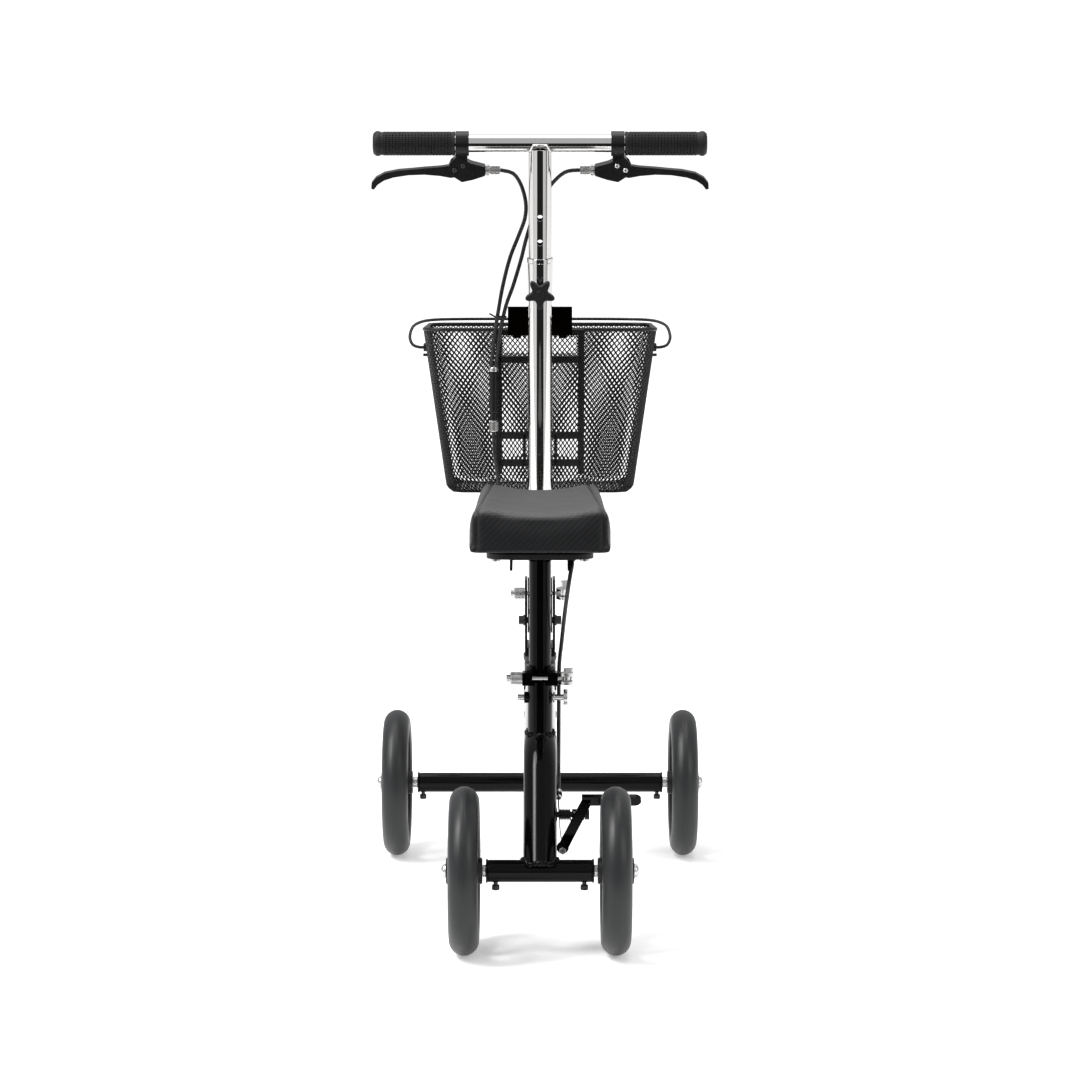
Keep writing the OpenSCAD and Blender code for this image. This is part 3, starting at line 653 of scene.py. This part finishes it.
def ring(r, height, steps=72):
    """Points round a circle, with a height that depends on the angle, in metres."""
    angles = [2 * math.pi * k / steps for k in range(steps)]
    return [Vector((r * math.cos(a), r * math.sin(a), height(a))) * MM for a in angles]


def tube_middle(y):
    """The height of the main tube's centre line at y, on its bend and level run."""
    back = -219.4 - y
    return 155 + math.sqrt(70 * 70 - back * back) if back > 0 else 225


def frame_tubes():
    for node, width in (("main_tube", 0), ("seat_tube", 0.5), ("head_tube", 0.7), ("brake_bracket", 0.7)):
        piece = copied(node + "_shell", node)
        if width:
            soften(piece, width)
        fit(piece, "frame_black", "frame", node)
    seat_path = [p + Vector((0, SEAT_Y * MM, 0)) for p in ring(14.6, lambda a: tube_middle(SEAT_Y + 14.6
        * math.sin(a)) + math.sqrt(19.3 ** 2 - (14.6 * math.cos(a)) ** 2))]
    weld("seat_tube_weld", seat_path, "frame", 3.0)
    slope = Matrix.Translation((0, REAR_AXLE[0], REAR_AXLE[1]))
    slope = slope @ Matrix.Rotation(math.radians(-36.2), 4, "X")
    weld("rear_axle_weld", [slope @ p for p in ring(19.2, lambda a: math.sqrt(max(0, 13.0 ** 2
        - (19.2 * math.sin(a)) ** 2)) if abs(19.2 * math.sin(a)) < 13 else 0)], "frame", 3.2)
    head = Matrix.Translation((0, 0.2335, 0.225)) @ Matrix.Rotation(math.pi / 2, 4, "X")
    weld("head_tube_weld", [head @ p for p in ring(19.2, lambda a: 2 + math.sqrt(20.6 ** 2
        - (19.2 * math.cos(a)) ** 2) - 2.7 * math.sin(a))], "frame", 2.2)
    fit(soften(copied("headset_cups", "headset_bearings"), 0.6), "dark_steel", "frame", "headset_bearings")


def clamp_hardware():
    """Both cam clamps, the collar, the locking pin and the bolts that fold the column."""
    for name, node, finish, body, width in (
            ("seat_collar", "seat_clamp_collar", "frame_black", "frame", 0.9),
            ("seat_draw_rod", "seat_clamp_skewer", "zinc_steel", "frame", 0.4),
            ("seat_cam_lever", "seat_clamp_lever", "zinc_steel", "seat_clamp", 0.9),
            ("seat_pull_pin", "seat_pin", "zinc_steel", "seat_lock_pin", 0.6),
            ("yoke", "fold_yoke", "frame_black", "steering", 0.7),
            ("fold_pivot", "fold_bolt", "dark_steel", "steering", 0.5),
            ("fold_draw_rod", "fold_skewer", "zinc_steel", "column", 0.4),
            ("fold_cam_lever", "fold_lever", "zinc_steel", "fold_clamp", 0.9),
            ("spindle", "steering_spindle", "frame_black", "steering", 0),
            ("post", "seat_post", "frame_black", "seat", 0.3),
            ("post_bracket", "seat_bracket", "frame_black", "seat", 0.8),
            ("pad_screws", "pad_bolts", "zinc_steel", "seat", 0.4),
            ("pivot_screw", "brake_pivot_bolt", "dark_steel", "frame", 0.5),
            ("brake_lever_arm", "brake_arm", "frame_black", "brake", 0.8)):
        piece = copied(name, node)
        if width:
            soften(piece, width)
        fit(piece, finish, body, node)
    for name, place, body in (
            ("seat_nut", Matrix.Translation((-0.0206, -0.262, 0.302)), "frame"),
            ("fold_nut", COLUMN @ Matrix.Translation((-0.0199, 0, 0.2555)), "column")):
        nut = sleeve(name, 7.2, 2.6, -13.4, -0.2, 0.8, 36)
        edit(nut)
        pick_faces(nut, lambda c, n: abs(n.x) < 0.3 and n.dot(c) > 0)
        bpy.ops.mesh.subdivide(number_cuts=1)
        done()
        blocks(nut, -12.4, -1.2, 0.18, 0.22)
        fit(settle(nut, place), "zinc_steel", body)
    spring = [Vector((x0 * MM, 0, 0)) + Matrix.Rotation(a, 3, "X") @ Vector((0, 0, 0.0057))
        for x0, a in [(21.7 + 13.6 * k / 150, 2 * math.pi * 7.5 * k / 150) for k in range(151)]]
    legs = [Vector((21.0, 4, 26)) * MM, Vector((21.2, 3, 14)) * MM]
    tail = [Vector((35.6, -9, -5)) * MM, Vector((36.4, -15, -7)) * MM]
    coil = swept("return_spring", legs + spring + tail, 0.75, 8)
    fit(settle(coil, Matrix.Translation((0, -0.255, 0.1424))), "dark_steel", "brake", "brake_spring")


# Column and handlebar


def chrome_tubes():
    column = sleeve("column_shell", 15.9, 14.5, 203.6, 692, 0.5, 96)
    band = sleeve("column_lip", 16.6, 15.7, 686, 692.2, 0.6, 96)
    shell = join("column_shell", [column, band])
    upright = Matrix.Rotation(-math.pi / 2, 4, "Y")
    settle(shell, upright)
    boss = turned("knob_boss", [(14.5, 4.2), (14.5, 8), (21, 8), (22, 7), (22, 4.2), (14.5, 4.2)], 40)
    settle(boss, Matrix.Translation((0, 0, 0.651)) @ Matrix.Rotation(-math.pi / 2, 4, "Z"))
    fit(settle(join("column_shell", [shell, boss]), COLUMN), "chrome", "column", "column_tube")
    stem = sleeve("stem_shell", 14.3, 12.3, 498, 829, 0.5, 96)
    settle(stem, upright)
    for k in range(-3, 4):
        bpy.ops.mesh.primitive_cylinder_add(vertices=40, radius=0.004, depth=0.06,
            location=(0, 0, (651 + 31 * k) * MM), rotation=(math.pi / 2, 0, 0))
        drill = settle(begin("drill"))
        modify(stem, "BOOLEAN", object=drill, operation="DIFFERENCE", solver="EXACT")
        bpy.data.objects.remove(drill)
    fit(settle(stem, COLUMN), "chrome", "handlebars", "stem_tube", smooth=25)
    tube = sleeve("cross_bar", 11.1, 9.3, -203, 203, 0.5, 80)
    fit(settle(tube, BAR), "chrome", "handlebars", "handlebar")
    joint = [BAR @ Matrix.Rotation(LEAN, 4, "X") @ p for p in ring(14.5, lambda a: -math.sqrt(max(0,
        11.3 ** 2 - (14.5 * math.sin(a)) ** 2)) if abs(14.5 * math.sin(a)) < 11.3 else -0.5)]
    bead_piece = swept("stem_weld", joint, 1.3, 10, closed=True,
        lumps=lambda i: 1 + 0.12 * math.sin(i * 2.1))
    fit(bead_piece, "chrome", "handlebars", smooth=60)


def star():
    """The five-armed knob that clamps the stem."""
    bpy.ops.mesh.primitive_circle_add(vertices=90, radius=1, fill_type="NGON")
    knob = begin("star_handle")
    for vertex in knob.data.vertices:
        turn = math.atan2(vertex.co.y, vertex.co.x)
        reach = 10.6 + 8.8 * (0.5 + 0.5 * math.cos(5 * (turn + math.pi / 2))) ** 1.5
        vertex.co = Vector((math.cos(turn) * reach, math.sin(turn) * reach, -6)) * MM
    edit(knob)
    bpy.ops.mesh.select_all(action="SELECT")
    bpy.ops.mesh.extrude_region_move(TRANSFORM_OT_translate={"value": (0, 0, 0.012)})
    bpy.ops.mesh.select_all(action="SELECT")
    bpy.ops.mesh.normals_make_consistent(inside=False)
    done()
    soften(knob, 1.5, 3, 50)
    cap = rod("star_cap", 5.4, 5, 6.9, 0.6, 36)
    settle(cap, Matrix.Rotation(-math.pi / 2, 4, "Y"))
    neck = rod("star_neck", 7.6, -10.6, -5.8, 0.5, 40)
    settle(neck, Matrix.Rotation(-math.pi / 2, 4, "Y"))
    bolt = rod("star_bolt", 3.9, -24, -8, 0.4, 24)
    settle(bolt, Matrix.Rotation(-math.pi / 2, 4, "Y"))
    whole = join("star_handle", [knob, cap, neck, bolt])
    edit(whole)
    outward()
    done()
    place = COLUMN @ Matrix.Translation((0, -0.033, 0.651)) @ Matrix.Rotation(math.pi / 2, 4, "X")
    fit(settle(whole, place), "knob_plastic", "height_knob", "star_knob")


def grips():
    """Rubber grips with a moulded grid, a smooth end ring and a bulged end."""
    bands = [(111 + 4.05 * k, 14.3) for k in range(22)]
    outline = [(106.2, 11.15), (106.2, 14.2), (107, 15), (109.4, 15), (110.2, 14.3)] + bands
    outline += [(200, 14.6), (200.6, 15.3), (201.8, 15.6), (204.4, 15.6), (205.6, 15.2), (206.1, 14.4),
        (207.4, 13.8), (208.5, 12.4), (209, 9.5), (209, 0)]
    grip = blocks(turned("grip", outline, 36), 111, 196.2, 0.42, 0.62)
    left = mirrored(grip, "left_hand_grip")
    grip.name = "right_hand_grip"
    for side, piece in (("left", left), ("right", grip)):
        fit(settle(piece, BAR), "grip_rubber", "handlebars", side + "_grip")


def levers():
    """The clamped housings, their screws and barrel adjusters, and the blades."""
    housings = soften(copied("lever_bodies", "lever_housings"), 1.4, 3)
    bands = []
    for sign in (-1, 1):
        lug = bar("lug", (91.5, 103.5), (-9, 9), (-22, -12.5), 1.6, 3)
        bands.append(twin(lug, "lug", LEVER_PLANE @ Matrix.Diagonal((sign, 1, 1, 1))))
        bpy.data.objects.remove(lug)
    housings = join("lever_bodies", [housings] + bands)
    fit(housings, "lever_plastic", "handlebars", "lever_housings")
    barrel = turned("barrel", [(50, 2.6), (50, 4.4), (50.6, 5), (62, 5), (62.6, 4.6), (63, 4.6), (63, 6),
        (63.6, 6.6), (68.4, 6.6), (69, 6), (69, 2.6), (50, 2.6)], 40)
    blocks(barrel, 63.7, 68.3, 0.16, 0.25)
    edit(barrel)
    pick_faces(barrel, lambda c, n: 0.051 < c.x < 0.0615 and abs(n.x) < 0.3
        and n.dot(Vector((0, c.y, c.z))) > 0)
    bpy.ops.mesh.subdivide(number_cuts=2)
    done()
    blocks(barrel, 51, 61.5, 0.12, 0.2)
    settle(barrel, Matrix.Translation((0, 0, -0.034)))
    inner = rod("inner", 2.3, 56, 80, 0.2, 20)
    settle(inner, Matrix.Translation((0, 0, -0.034)))
    screws = []
    for x, z, r in ((96.5, -26.5, 3.0), (107, -32, 3.0)):
        screw = turned("screw", [(-10.8, 0), (-10.8, r - 0.6), (-10.2, r), (-8.6, r), (-8.6, r * 0.6),
            (-6, r * 0.6), (-6, 0)], 28)
        edit(screw)
        pick_faces(screw, lambda c, n: n.x < -0.9)
        bpy.ops.mesh.inset(thickness=0.0009, depth=-0.0006)
        done()
        settle(screw, Matrix.Translation((x * MM, 0, z * MM)) @ Matrix.Rotation(math.pi / 2, 4, "Z"))
        screws.append(screw)
    pin = rod("pin", 2.45, -10, 10, 0.3, 24)
    settle(pin, Matrix.Translation((0.107, 0, -0.032)) @ Matrix.Rotation(math.pi / 2, 4, "Z"))
    heads = join("right_screws", screws)
    fit(settle(mirrored(heads, "left_screws"), LEVER_PLANE), "dark_steel", "handlebars")
    one = join("fittings", [barrel, inner, pin])
    both = settle(join("lever_fittings_set", [one, mirrored(one, "fittings"), heads]), LEVER_PLANE)
    fit(both, "zinc_steel", "handlebars", "lever_fittings")
    for side in ("left", "right"):
        blade = soften(copied(side + "_blade", side + "_lever"), 2.2, 4, 50)
        fit(blade, "lever_plastic", side + "_brake_lever", side + "_lever", smooth=50)


def cables():
    """The sheathed cables, in fixed runs that follow no body, and the bare inner wire at the brake."""
    left = swept("left_cable", curve_points(LEFT_CABLE, 5), 2.5, 12)
    right = swept("right_cable", curve_points(RIGHT_CABLE, 5), 2.5, 12)
    for piece in (left, right):
        fit(piece, "cable_sheath", None, smooth=60)
        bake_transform(piece)
    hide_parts("brake_cables")
    tie_height = 0.706
    near = [min(curve_points(route, 2), key=lambda p: abs(p.z - tie_height))
        for route in (LEFT_CABLE, RIGHT_CABLE)]
    middle, gap = (near[0] + near[1]) / 2, (near[0] - near[1]).length / 2
    loop = [middle + Vector((math.cos(a) * (gap + 0.0034), math.sin(a) * 0.0034, 0)) for a in
        [2 * math.pi * k / 40 for k in range(40)]]
    tie = join("cable_tie", [swept("tie_band", loop, 1.2, 8, closed=True),
        swept("tie_tail", [middle + Vector((-gap - 0.003, -0.003, 0)),
            middle + Vector((-gap - 0.010, -0.006, 0.004))], 1.1, 8)])
    fit(tie, "lever_plastic", None, smooth=60)
    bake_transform(tie)
    column = swept("column_cable_run", curve_points(COLUMN_CABLE, 5), 2.5, 12)
    fit(column, "cable_sheath", None, smooth=60)
    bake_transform(column)
    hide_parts("column_cable")
    run = curve_points(FRAME_CABLE, 5)
    first = min(range(len(run)), key=lambda i: (run[i] - bead(FRAME_CABLE[5])).length)
    second = min(range(len(run)), key=lambda i: (run[i] - bead(FRAME_CABLE[9])).length)
    parts = (
        ("cable_to_frame", run[:first + 1], "steering", "frame",
            (-0.048, 0.19, 0.465), (0.014, 0.04, 0.416)),
        ("cable_to_pad", run[first:second + 1], "frame", "seat",
            (0.024, 0.0, 0.418), (0.0372, -0.205, 0.4382)),
        ("cable_to_stop", run[second:], "seat", "frame", (0.0365, -0.252, 0.433), (0.0225, -0.221, 0.300)),
    )
    for name, path, first_body, second_body, start, end in parts:
        piece = swept(name, path, 2.5, 12)
        fit(piece, "cable_sheath", None, smooth=60)
        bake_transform(piece)
    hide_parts("frame_cable")
    wire = swept("inner_wire", curve_points([(21.8, -205, 158), (22, -222, 146), (23, -247, 126),
        (26, -279, 107), (26.5, -284, 102)], 4), 0.8, 8)
    fit(wire, "zinc_steel", None, smooth=60)
    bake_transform(wire)
    ferrule = turned("ferrule", [(-7, 2.7), (-7, 3.7), (-6.4, 4.1), (4.5, 4.1), (5.2, 3.4), (5.2, 2.7),
        (-7, 2.7)], 32)
    place = Matrix.Translation((0.0218, -0.205, 0.158)) @ Matrix.Rotation(math.radians(-55), 4, "X")
    fit(settle(ferrule, place @ Matrix.Rotation(-math.pi / 2, 4, "Y")), "zinc_steel", "frame")
    pinch = turned("pinch_bolt", [(-9, 0), (-9, 3.6), (-8.5, 4.1), (-4.2, 4.1), (-4.2, 0)], 6)
    settle(soften(pinch, 0.3), Matrix.Rotation(-math.pi / 2, 4, "Z"))
    place = Matrix.Translation((0.026, -0.288, 0.107)) @ Matrix.Rotation(math.pi, 4, "Z")
    fit(settle(pinch, place), "zinc_steel", "brake")


def junction():
    """The box where the two cables become one, with its rim and adjuster."""
    body = turned("junction_shell", [(0, 3), (0, 4.6), (1.2, 5.6), (52, 5.6), (53, 5), (53, 2.4), (0, 3)], 40)
    neck = sleeve("junction_neck", 4.5, 2.6, -9.8, 0.2, 0.4, 32)
    shell = settle(join("junction_shell", [body, neck]), Matrix.Rotation(-math.pi / 2, 4, "Y"))
    fit(settle(shell, JUNCTION), "lever_plastic", "column", "cable_junction")
    cap = turned("junction_rim", [(52.6, 2), (52.6, 5.7), (53.2, 6), (57, 6), (58, 5.2), (58, 2),
        (52.6, 2)], 40)
    adjuster = turned("junction_adjuster", [(-24, 2.6), (-24, 4.6), (-23, 5.4), (-12, 5.4), (-11.4, 4.6),
        (-10, 4.6), (-10, 2.6), (-24, 2.6)], 36)
    edit(adjuster)
    pick_faces(adjuster, lambda c, n: -0.0228 < c.x < -0.0122 and n.dot(Vector((0, c.y, c.z))) > 0)
    bpy.ops.mesh.subdivide(number_cuts=3)
    done()
    blocks(adjuster, -22.8, -12.2, 0.12, 0.2)
    metal = settle(join("junction_metal", [cap, adjuster]), Matrix.Rotation(-math.pi / 2, 4, "Y"))
    fit(settle(metal, JUNCTION), "zinc_steel", "column")


# Knee rest


def cushion():
    piece = copied("knee_cushion", "knee_pad")
    edit(piece)
    bpy.ops.mesh.select_all(action="SELECT")
    bpy.ops.transform.shrink_fatten(value=-0.0022)
    done()
    modify(piece, "REMESH", mode="VOXEL", voxel_size=0.0045)
    upper = piece.vertex_groups.new(name="upper")
    upper.add([v.index for v in piece.data.vertices if v.co.z > 0.466], 1.0, "REPLACE")
    modify(piece, "SMOOTH", factor=0.5, iterations=14, vertex_group="upper")
    for vertex in piece.data.vertices:
        flare = min(1, max(0, (0.466 - vertex.co.z) / 0.0095))
        vertex.co.x *= 1 + 0.10 * flare
        vertex.co.y += (vertex.co.y + 0.1995) * 0.02 * flare
    swell(piece)
    modify(piece, "SUBSURF", levels=1, render_levels=1)
    modify(piece, "SMOOTH", factor=0.5, iterations=3)
    sew(piece)
    edit(piece)
    bpy.ops.mesh.select_all(action="SELECT")
    bpy.ops.uv.cube_project(cube_size=1.0)
    done()
    fit(piece, "pad_vinyl", "seat", "knee_pad", smooth=60)
    fit(soften(copied("pad_base", "pad_board"), 1.0), "board_plastic", "seat", "pad_board")


def swell(piece):
    """Fills the cover with air for a moment, caps each point's travel at 2 mm and smooths the result."""
    rest = [v.co.copy() for v in piece.data.vertices]
    held = piece.vertex_groups.new(name="held")
    held.add([i for i, p in enumerate(rest) if p.z < 0.4585], 1.0, "REPLACE")
    alone(piece)
    cloth = piece.modifiers.new("Cloth", "CLOTH")
    cloth.settings.vertex_group_mass = "held"
    cloth.settings.use_pressure = True
    cloth.settings.uniform_pressure_force = 2
    cloth.settings.effector_weights.gravity = 0
    cloth.settings.tension_stiffness = 30
    cloth.settings.compression_stiffness = 30
    scene = bpy.context.scene
    for step in range(1, 21):
        scene.frame_set(step)
    bpy.ops.object.modifier_apply(modifier="Cloth")
    scene.frame_set(1)
    for vertex, start in zip(piece.data.vertices, rest):
        move = vertex.co - start
        if move.length > 0.002:
            vertex.co = start + move.normalized() * 0.002
    modify(piece, "SMOOTH", factor=0.5, iterations=8, vertex_group="upper")


def sew(piece):
    """Draws in the two lengthwise seams, which part the side panels from the middle one, and marks where the
    cover faces up, which the finish paints lighter as painted light.
    """
    mesh = piece.data
    top = mesh.attributes.new("top_rib_and_painted_light", "FLOAT", "POINT")
    seams = mesh.attributes.new("seam", "FLOAT", "POINT")
    normals = [v.normal.copy() for v in mesh.vertices]
    for i, vertex in enumerate(mesh.vertices):
        x, y = vertex.co.x / MM, vertex.co.y / MM
        share = min(1, max(0, (-22 - y) / 345))
        near = abs(abs(x) - 58 - 12.5 * share ** 1.4)
        if normals[i].z < -0.3:
            near = 99
        vertex.co = vertex.co - normals[i] * (math.exp(-(near / 2.4) ** 2) * 0.0016)
        # Up-facing parts of the cover are marked here by their normal, for the painted light of the top.
        top.data[i].value = min(1.0, max(0.0, (normals[i].z - 0.35) / 0.3))
        seams.data[i].value = math.exp(-(near / 2.0) ** 2)


# Basket


def wall_point(around, up):
    """A point on the basket's wall: a share of the way round it from the back, and of the way up."""
    z = 478 + up * 209
    tuck = 7 * (max(0, 1 - up / 0.045)) ** 2
    half = 119.5 + up * 29 - tuck
    back = 250 - (z - 95) * math.tan(LEAN) + 28 / math.cos(LEAN) + 0.8 + tuck
    front = 395.5 + up * 45.5 - tuck
    r = 28 - tuck
    depth, width = front - back - 2 * r, 2 * half - 2 * r
    arc = math.pi * r / 2
    total = 2 * depth + 2 * width + 4 * arc
    s = around * total
    runs = [
        (width / 2, (0, back), (1, 0)),
        (arc, (half - r, back + r), -90),
        (depth, (half, back + r), (0, 1)),
        (arc, (half - r, front - r), 0),
        (width, (half - r, front), (-1, 0)),
        (arc, (r - half, front - r), 90),
        (depth, (-half, front - r), (0, -1)),
        (arc, (r - half, back + r), 180),
        (width / 2, (r - half, back), (1, 0)),
    ]
    for length, (x, y), way in runs:
        if s <= length + 1e-9:
            break
        s -= length
    if isinstance(way, tuple):
        return Vector((x + way[0] * s, y + way[1] * s, z)) * MM
    a = math.radians(way) + s / r
    return Vector((x + r * math.cos(a), y + r * math.sin(a), z)) * MM


def diamonds(piece):
    """Turns a flat grid into diamonds, by dropping every line that runs along or across it."""
    edit(piece)
    bpy.ops.mesh.select_all(action="SELECT")
    bpy.ops.mesh.poke()
    bpy.ops.mesh.select_mode(type="EDGE")
    pick_edges(piece, lambda e: not e.is_boundary and min(abs(e.verts[0].co.x - e.verts[1].co.x),
        abs(e.verts[0].co.y - e.verts[1].co.y)) < 0.000001)
    bpy.ops.mesh.dissolve_edges(use_verts=False)
    done()


def basket():
    columns, rows = 150, 26
    bpy.ops.mesh.primitive_grid_add(x_subdivisions=columns, y_subdivisions=rows, size=1, location=(0, 0, 0))
    wall = begin("basket_wall_mesh")
    diamonds(wall)
    for vertex in wall.data.vertices:
        vertex.co = wall_point(vertex.co.x + 0.5, vertex.co.y + 0.5)
    edit(wall)
    merge(0.0002)
    bpy.ops.mesh.select_mode(type="EDGE")
    pick_edges(wall, lambda e: not e.is_boundary
        and all(abs(v.co.x) < 0.0001 and v.co.y < 0.25 for v in e.verts))
    bpy.ops.mesh.dissolve_edges(use_verts=False)
    done()
    edit(wall)
    upright = COLUMN.inverted()
    for low, high in ((563, 589), (428, 453)):
        pick_faces(wall, lambda c, n: c.y < 0.24 and abs(c.x) < 0.0485
            and low * MM < (upright @ c).z < high * MM)
        bpy.ops.mesh.delete(type="FACE")
    done()
    modify(wall, "WIREFRAME", thickness=0.0024, use_even_offset=False, use_boundary=True)
    fit(wall, "basket_black", "basket", "basket_shell", smooth=20)
    bpy.ops.mesh.primitive_grid_add(x_subdivisions=32, y_subdivisions=23, size=1,
        location=(0, 0.3105, 0.478))
    floor = begin("basket_floor_mesh")
    floor.scale = (0.226, 0.157, 1)
    settle(floor)
    diamonds(floor)
    edit(floor)
    pick_faces(floor, lambda c, n: math.hypot(max(0, abs(c.x) - 0.0915),
        max(0, abs(c.y - 0.3105) - 0.057)) > 0.0225)
    bpy.ops.mesh.delete(type="FACE")
    done()
    modify(floor, "WIREFRAME", thickness=0.0017, use_even_offset=False, use_boundary=True)
    edit(floor)
    bpy.ops.mesh.select_all(action="SELECT")
    bpy.ops.transform.resize(value=(1, 1, 0.25))
    done()
    fit(floor, "basket_black", "basket", smooth=20)
    hoops = []
    for up, r, drop in ((1.0, 2.6, 0.0015), (0.0, 1.2, 0.0005)):
        path = [wall_point(k / 160, up) + Vector((0, 0, drop)) for k in range(160)]
        hoops.append(swept("hoop", path, r, 12, closed=True))
    back = [22.4, 27.8]
    straps = [bar("strap", (s * 52.6 - 4.1, s * 52.6 + 4.1), back, (408, 594), 0.9) for s in (-1, 1)]
    straps.append(bar("strap", (-56.6, 56.6), (19.4, 22.6), (589.3, 597), 0.8))
    straps += [bar("strap", (-52.6, 52.6), back, (s, s + 9), 0.8) for s in (553, 454, 418)]
    straps += [bar("strap", (s * 20 - 2, s * 20 + 2), back, (418, 460), 0.6) for s in (-1, 1)]
    ladder = settle(join("basket_ladder", straps), COLUMN)
    lugs = [rod("stub", 1.9, 141, 153.5, 0.5, 20)]
    settle(lugs[0], Matrix.Translation((0, 0.315, 0.652)))
    lugs.append(mirrored(lugs[0], "stub"))
    for sign in (-1, 1):
        lug = sleeve("lug", 5.5, 2.1, 146.3, 153, 0.8, 28)
        lugs.append(settle(lug, Matrix.Translation((0, 0.315, 0.662)) @ Matrix.Rotation(
            0 if sign > 0 else math.pi, 4, "Z")))
    fit(join("basket_wires", hoops + [ladder] + lugs), "basket_black", "basket", "basket_frame")
    bail()
    plate = soften(copied("hook_plate_cover", "hook_plate"), 0.8)
    fit(plate, "plate_brown", "column", "hook_plate")


def bail():
    """The carrying handle: a wire that turns in the lugs and lies over the rim."""
    half = [(148, 315, 662), (158, 315, 662), (167, 316.5, 665), (171, 321, 673), (170.5, 331, 681.5),
        (167.5, 352, 688.5), (161, 378, 692.5), (150, 405, 694.8), (133, 426, 695.5), (108, 437, 695.7),
        (70, 440, 695.8)]
    whole = half + [(0, 440, 695.8)] + [(-x, y, z) for x, y, z in reversed(half)]
    wire = swept("carry_handle", curve_points(whole, 5), 2.0, 12)
    fit(wire, "basket_black", "bail", "basket_bail", smooth=60)


# Studio


def studio():
    """A pale floor, soft lamps, and a sky that looks white but has dark bands for the polished parts."""
    bpy.ops.mesh.primitive_plane_add(size=1, location=(0, 19.0, -0.0006))
    floor = begin("studio_floor")
    floor.scale = (60, 40, 1)
    settle(floor)
    paint = Finish("studio_floor")
    paint.surface(Base_Color=grey(0.92), Roughness=paint.noise(3) * 0.1 + 0.75, Specular_IOR_Level=0.2,
        Emission_Color=grey(1.0), Emission_Strength=0.30)
    floor.data.materials.append(paint.material)
    world = bpy.data.worlds.new("studio")
    bpy.context.scene.world = world
    world.use_nodes = True
    nodes, links = world.node_tree.nodes, world.node_tree.links
    nodes.clear()
    sky = nodes.new("ShaderNodeBackground")
    links.new(sky.outputs[0], nodes.new("ShaderNodeOutputWorld").inputs["Surface"])
    look = nodes.new("ShaderNodeTexCoord")
    split = nodes.new("ShaderNodeSeparateXYZ")
    links.new(look.outputs["Generated"], split.inputs[0])
    back = nodes.new("ShaderNodeMath")
    back.operation = "MULTIPLY"
    back.inputs[1].default_value = -1
    links.new(split.outputs["Y"], back.inputs[0])
    turn = nodes.new("ShaderNodeMath")
    turn.operation = "ARCTAN2"
    links.new(split.outputs["X"], turn.inputs[0])
    links.new(back.outputs[0], turn.inputs[1])
    round_map = nodes.new("ShaderNodeMapRange")
    round_map.inputs["From Min"].default_value = -math.pi
    round_map.inputs["From Max"].default_value = math.pi
    links.new(turn.outputs[0], round_map.inputs["Value"])
    ramp = nodes.new("ShaderNodeValToRGB")
    shades = ((0.0, 0.62), (0.135, 0.66), (0.14, 0.04), (0.17, 0.04), (0.18, 0.72),
        (0.405, 1.0), (0.415, 0.02),
        (0.59, 0.02), (0.60, 0.95), (0.69, 0.55), (0.70, 0.03), (0.735, 0.03), (0.745, 0.62), (1.0, 0.62))
    for place, shade in shades[2:]:
        ramp.color_ramp.elements.new(place)
    for element, (place, shade) in zip(ramp.color_ramp.elements, shades):
        element.position = place
        element.color = (shade, shade, shade, 1)
    links.new(round_map.outputs[0], ramp.inputs[0])
    high = nodes.new("ShaderNodeMapRange")
    high.inputs["From Min"].default_value = -0.06
    high.inputs["From Max"].default_value = 0.10
    high.inputs["To Min"].default_value = 0.0
    links.new(split.outputs["Z"], high.inputs["Value"])
    ceiling = nodes.new("ShaderNodeMix")
    ceiling.data_type = "RGBA"
    ceiling.inputs[7].default_value = (0.62, 0.62, 0.63, 1)
    links.new(high.outputs[0], ceiling.inputs[0])
    links.new(ramp.outputs[0], ceiling.inputs[6])
    seen = nodes.new("ShaderNodeLightPath")
    mix = nodes.new("ShaderNodeMix")
    mix.data_type = "RGBA"
    mix.inputs[7].default_value = (1.1, 1.1, 1.1, 1)
    links.new(seen.outputs["Is Camera Ray"], mix.inputs[0])
    links.new(ceiling.outputs[2], mix.inputs[6])
    links.new(mix.outputs[2], sky.inputs["Color"])
    for name, at, size, power in (("key", (-2.6, -1.6, 3.0), (0.9, 1.8), 60), ("fill", (2.8, -2.0, 2.2),
            (0.7, 1.8), 26), ("top", (0, 0.6, 3.4), (2.2, 2.2), 40)):
        lamp = bpy.data.lights.new(name, "AREA")
        lamp.shape = "RECTANGLE"
        lamp.size, lamp.size_y = size
        lamp.energy = power
        holder = bpy.data.objects.new(name, lamp)
        bpy.context.scene.collection.objects.link(holder)
        holder.location = at
        holder.rotation_euler = (Vector(at) - Vector((0, 0, 0.4))).to_track_quat("Z", "Y").to_euler()
    sun = bpy.data.lights.new("window", "SUN")
    sun.energy = 1.7
    sun.angle = math.radians(22)
    holder = bpy.data.objects.new("window", sun)
    bpy.context.scene.collection.objects.link(holder)
    holder.rotation_euler = Vector((-1.3, -0.5, 2.2)).to_track_quat("Z", "Y").to_euler()
    bpy.context.scene.view_settings.view_transform = "Standard"


wheels()
axle("rear", -350, "frame", 58, 50, 85.5)
axle("front", 250, "steering", 157, 153, 187)
frame_tubes()
clamp_hardware()
chrome_tubes()
star()
grips()
levers()
cables()
junction()
cushion()
basket()
studio()
